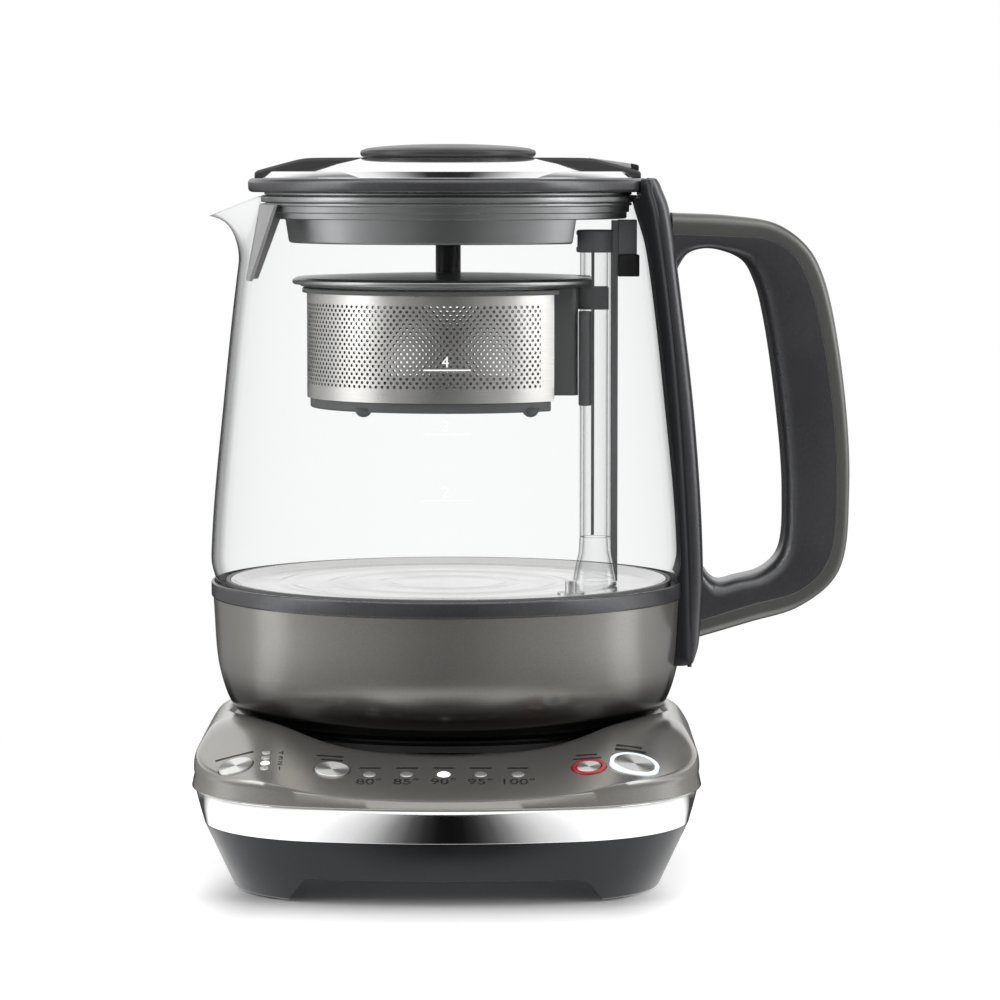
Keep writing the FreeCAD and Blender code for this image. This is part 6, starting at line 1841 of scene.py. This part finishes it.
# --------------------------------------------------------------------------------------- studio
@dataclass
class Studio:
    """Pale floor, soft lamps, bright surroundings and the camera."""

    camera_place: Point3 = (0.0165, -1.338, 0.2226)
    camera_fall: float = math.radians(4.57)
    lens: float = 151.0
    floor_lift: float = 0.62
    # Place and softness of the painted shadow on the floor in front of the base.
    shade_front: Point = (72.0, 135.0)
    shade_power: float = 1.35
    shade_side: Point = (52.0, 82.0)
    shade_middle: float = -4.0
    shade_narrowing: float = 0.25
    floor_size: float = 4000.0
    floor_middle: Point3 = (0.0, -0.02, 0.0)
    floor_colour = (0.80, 0.80, 0.80, 1.0)
    white_reach: Point = (0.16, 0.34)
    bright_reach: Point = (0.16, 0.45)
    near_reach: Point = (0.150, 0.172)
    behind_colour = (0.55, 0.55, 0.55, 1.0)
    high_from: Point = (0.12, 0.55)
    mirror_strength: float = 2.0
    even_strength: float = 0.5
    lamp_aim: Point3 = (0.0, -0.01, 0.11)
    top_bands = ((0.0, 0.02), (24.0, 0.03), (38.0, 0.16), (60.0, 0.50), (85.0, 0.95), (115.0, 1.15))
    near_floor: float = 1.4
    surroundings = ((0.0, 0.045), (0.08, 0.085), (0.16, 0.15), (0.31, 0.24), (0.42, 0.38), (0.47, 0.72),
                    (0.53, 0.72), (0.57, 0.34), (0.68, 0.22), (0.80, 0.14), (0.84, 0.03), (1.0, 0.03))
    high_surroundings = ((0.0, 0.55), (0.40, 0.55), (0.52, 0.30), (0.62, 0.16), (0.78, 0.16), (0.86, 0.55),
                         (1.0, 0.55))
    near_surroundings = ((0.0, 1.0), (0.49, 1.0), (0.58, 0.05), (1.0, 0.05))
    floor_bands = ((0.0, 0.006), (5.0, 0.008), (11.0, 0.03), (17.0, 0.09), (24.0, 0.26), (31.0, 0.54),
                   (38.0, 0.78), (48.0, 1.02), (62.0, 1.38))

    def painted_shadow_lift(self, shader: Shader) -> Socket:
        """How bright the floor glows: nothing at the base's front feet, more with the distance from them; the
        dark left round the feet is a painted shadow.

        Args:
            shader: The floor's material.

        Returns:
            The strength of the glow.
        """
        x, y, _ = shader.parts(shader.coordinates())
        near, far = self.shade_front
        front = shader.math("POWER", shader.spread(y, 1.0, 0.0, -far * MM, -near * MM), self.shade_power)
        behind = shader.math("MAXIMUM", shader.math("ADD", y, near * MM), 0.0)
        side = shader.math("ADD", shader.math("ABSOLUTE", shader.math("ADD", x, -self.shade_middle * MM)),
                           shader.math("MULTIPLY", behind, self.shade_narrowing))
        aside = shader.spread(side, 0.0, 1.0, *[reach * MM for reach in self.shade_side],
                              interpolation_type="SMOOTHSTEP")
        both = shader.math("SUBTRACT", shader.math("ADD", front, aside),
                           shader.math("MULTIPLY", front, aside))
        return shader.math("MULTIPLY", both, self.floor_lift)

    def build_floor(self) -> None:
        """Builds the floor, white except where lamps shade it and in a painted shadow in front of the base,
        and banded for mirrors.
        """
        shader = Shader(bpy.data.materials.new("studio_floor"))
        path = shader.node("LightPath").outputs
        matt = shader.surface(Base_Color=self.floor_colour, Roughness=0.7, Specular_IOR_Level=0.2)
        lift = shader.math("MULTIPLY", path["Is Camera Ray"], self.painted_shadow_lift(shader))
        lit = shader.value("AddShader", matt, shader.glow(1.0, lift))
        reach = shader.length(shader.coordinates(self.floor_middle))
        seen = shader.value("MixShader", shader.spread(reach, 0.0, 1.0, *self.white_reach), lit,
                            shader.glow(1.0))
        turn = shader.around(shader.coordinates())
        near = shader.glow(shader.ramp(turn, self.near_surroundings), self.near_floor)
        brighter = shader.spread(reach, 1.0, 2.0, *self.bright_reach)
        far = shader.glow(shader.ramp(turn, self.surroundings), brighter)
        mirrored = shader.value("MixShader", shader.spread(reach, 0.0, 1.0, *self.near_reach), near, far)
        size = self.floor_size
        corners = [(-size, -size, 0.0), (size, -size, 0.0), (size, size, 0.0), (-size, size, 0.0)]
        floor = mesh_object("studio_floor", Shape(corners, [(0, 1, 2, 3)]))
        floor.data.materials.append(shader.shown(
            shader.value("MixShader", path["Is Glossy Ray"], seen, mirrored)))

    def build_card(self, name: str, corners: Sequence[Point3], stops: Sequence[Point],
                   middle: float = 0.0) -> None:
        """Builds a flat card that only mirrors see, shaded across its width.

        Args:
            name: Name of the card.
            corners: Its corners in millimetres.
            stops: Distances from its middle line in millimetres and how bright it is there.
            middle: X of the middle line in millimetres.
        """
        shader = Shader(bpy.data.materials.new(name))
        side = shader.math("ABSOLUTE", shader.parts(shader.coordinates((middle * MM, 0.0, 0.0)))[0])
        card = mesh_object(name, Shape(list(corners), [tuple(range(len(corners)))]))
        card.data.materials.append(shader.shown(shader.glow(shader.ramp_mm(side, stops))))
        card.visible_camera = card.visible_diffuse = card.visible_shadow = card.visible_transmission = False

    def build_world(self) -> None:
        """Builds the surroundings: white to the eye, banded for mirrors and even for matt surfaces."""
        world = bpy.data.worlds.new("studio")
        bpy.context.scene.world = world
        shader = Shader(world)
        direction = shader.node("TexCoord").outputs["Generated"]
        _, y, z = shader.parts(direction)
        turn = shader.around(direction)
        over = shader.math("MULTIPLY", shader.spread(z, 0.0, 1.0, 0.0, 0.06),
                           shader.spread(y, 0.0, 1.0, 0.0, 0.35))
        low = shader.mix(over, shader.ramp(turn, self.surroundings), self.behind_colour)
        bands = shader.mix(shader.spread(z, 0.0, 1.0, *self.high_from), low,
                           shader.ramp(turn, self.high_surroundings))
        path = shader.node("LightPath").outputs
        mirror = shader.value("Background", bands, self.mirror_strength)
        even = shader.value("Background", WHITE, self.even_strength)
        indirect = shader.value("MixShader", path["Is Glossy Ray"], even, mirror)
        direct = shader.math("MAXIMUM", path["Is Camera Ray"], path["Is Transmission Ray"])
        shader.shown(shader.value("MixShader", direct, indirect, shader.value("Background", WHITE, 1.0)))

    def build_lamp(self, name: str, place: Point3, size: Point, power: float) -> None:
        """Builds a soft rectangular lamp that faces the object.

        Args:
            name: Name of the lamp.
            place: Where it stands, in metres.
            size: Width and height in metres.
            power: Power in watts.
        """
        light = bpy.data.lights.new(name, "AREA")
        light.shape = "RECTANGLE"
        light.size, light.size_y = size
        light.energy = power
        lamp = bpy.data.objects.new(name, light)
        lamp.location = place
        lamp.rotation_euler = (Vector(self.lamp_aim) - Vector(place)).to_track_quat("-Z", "Y").to_euler()
        bpy.context.scene.collection.objects.link(lamp)

    def build_camera(self) -> None:
        """Builds the camera."""
        data = bpy.data.cameras.new("camera")
        data.lens = self.lens
        data.sensor_width = 36.0
        data.clip_end = 20.0
        camera = bpy.data.objects.new("camera", data)
        camera.location = self.camera_place
        camera.rotation_euler = (math.pi / 2 - self.camera_fall, 0.0, 0.0)
        bpy.context.scene.collection.objects.link(camera)
        bpy.context.scene.camera = camera

    def build(self) -> None:
        """Builds everything round the object."""
        self.build_floor()
        self.build_world()
        self.build_card("front_card", [(-60.0, -158.0, 1.0), (64.0, -158.0, 1.0), (64.0, -104.0, 1.0),
                                       (-60.0, -104.0, 1.0)], self.floor_bands, 2.0)
        self.build_card("top_card", [(-115.0, -110.0, 420.0), (115.0, -110.0, 420.0), (115.0, 120.0, 420.0),
                                     (-115.0, 120.0, 420.0)], self.top_bands)
        for name, side in (("left_card", -1), ("right_card", 1)):
            self.build_card(name, [(side * 20.0, 85.0, 1.0), (side * 92.0, 40.0, 1.0),
                                   (side * 215.0, 260.0, 1.0), (side * 20.0, 260.0, 1.0)],
                                   ((0.0, 0.02), (300.0, 0.02)))
        self.build_lamp("left_lamp", (-1.0, -0.35, 0.55), (0.5, 0.9), 3.0)
        self.build_lamp("right_lamp", (1.0, -0.35, 0.55), (0.5, 0.9), 3.0)
        self.build_lamp("top_lamp", (0.0, -0.25, 1.2), (1.2, 0.9), 3.5)
        self.build_camera()
        bpy.context.scene.view_settings.view_transform = "Standard"


# ----------------------------------------------------------------------------- what stays plain
KEPT: dict[str, Finish] = {
    "rubber_feet": RUBBER, "base_screws": SCREW_STEEL, "control_board": BOARD, "panel_switches": COMPONENT,
    "jug_seat": BLACK_PLASTIC, "connector_post": BLACK_PLASTIC, "contact_rings": BRASS, "power_board": BOARD,
    "supply_components": COMPONENT, "cord_gland": RUBBER, "jug_socket": BLACK_PLASTIC,
    "underside_cover": BLACK_PLASTIC, "floor_seal": SILICONE, "heat_spreader": ALUMINIUM,
    "heating_element": SCREW_STEEL, "thermal_cutouts": COMPONENT, "temperature_probe": SCREW_STEEL,
    "jug_screws": SCREW_STEEL, "riser_spine": SMOKY_PLASTIC, "knob_screw": SCREW_STEEL,
    "basket_floor": STEEL, "riser_guide": GREY_PLASTIC,
}


def dress_kept_nodes() -> None:
    """Gives the nodes whose own shape shows a finish."""
    for name, finish in KEPT.items():
        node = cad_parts[name]
        node.data.materials.clear()
        node.data.materials.append(material(finish))
        log.info("%s: finish %s", name, finish.name)


def main() -> None:
    """Builds the sub-assemblies in order, then the studio."""
    logging.basicConfig(level=logging.INFO, format="%(message)s")
    dress_kept_nodes()
    for assembly in (PowerBase(), Jug(), Lid(), Basket()):
        assembly.build()
        log.info("%s is done", type(assembly).__name__)
    Studio().build()


if __name__ == "__main__":
    main()
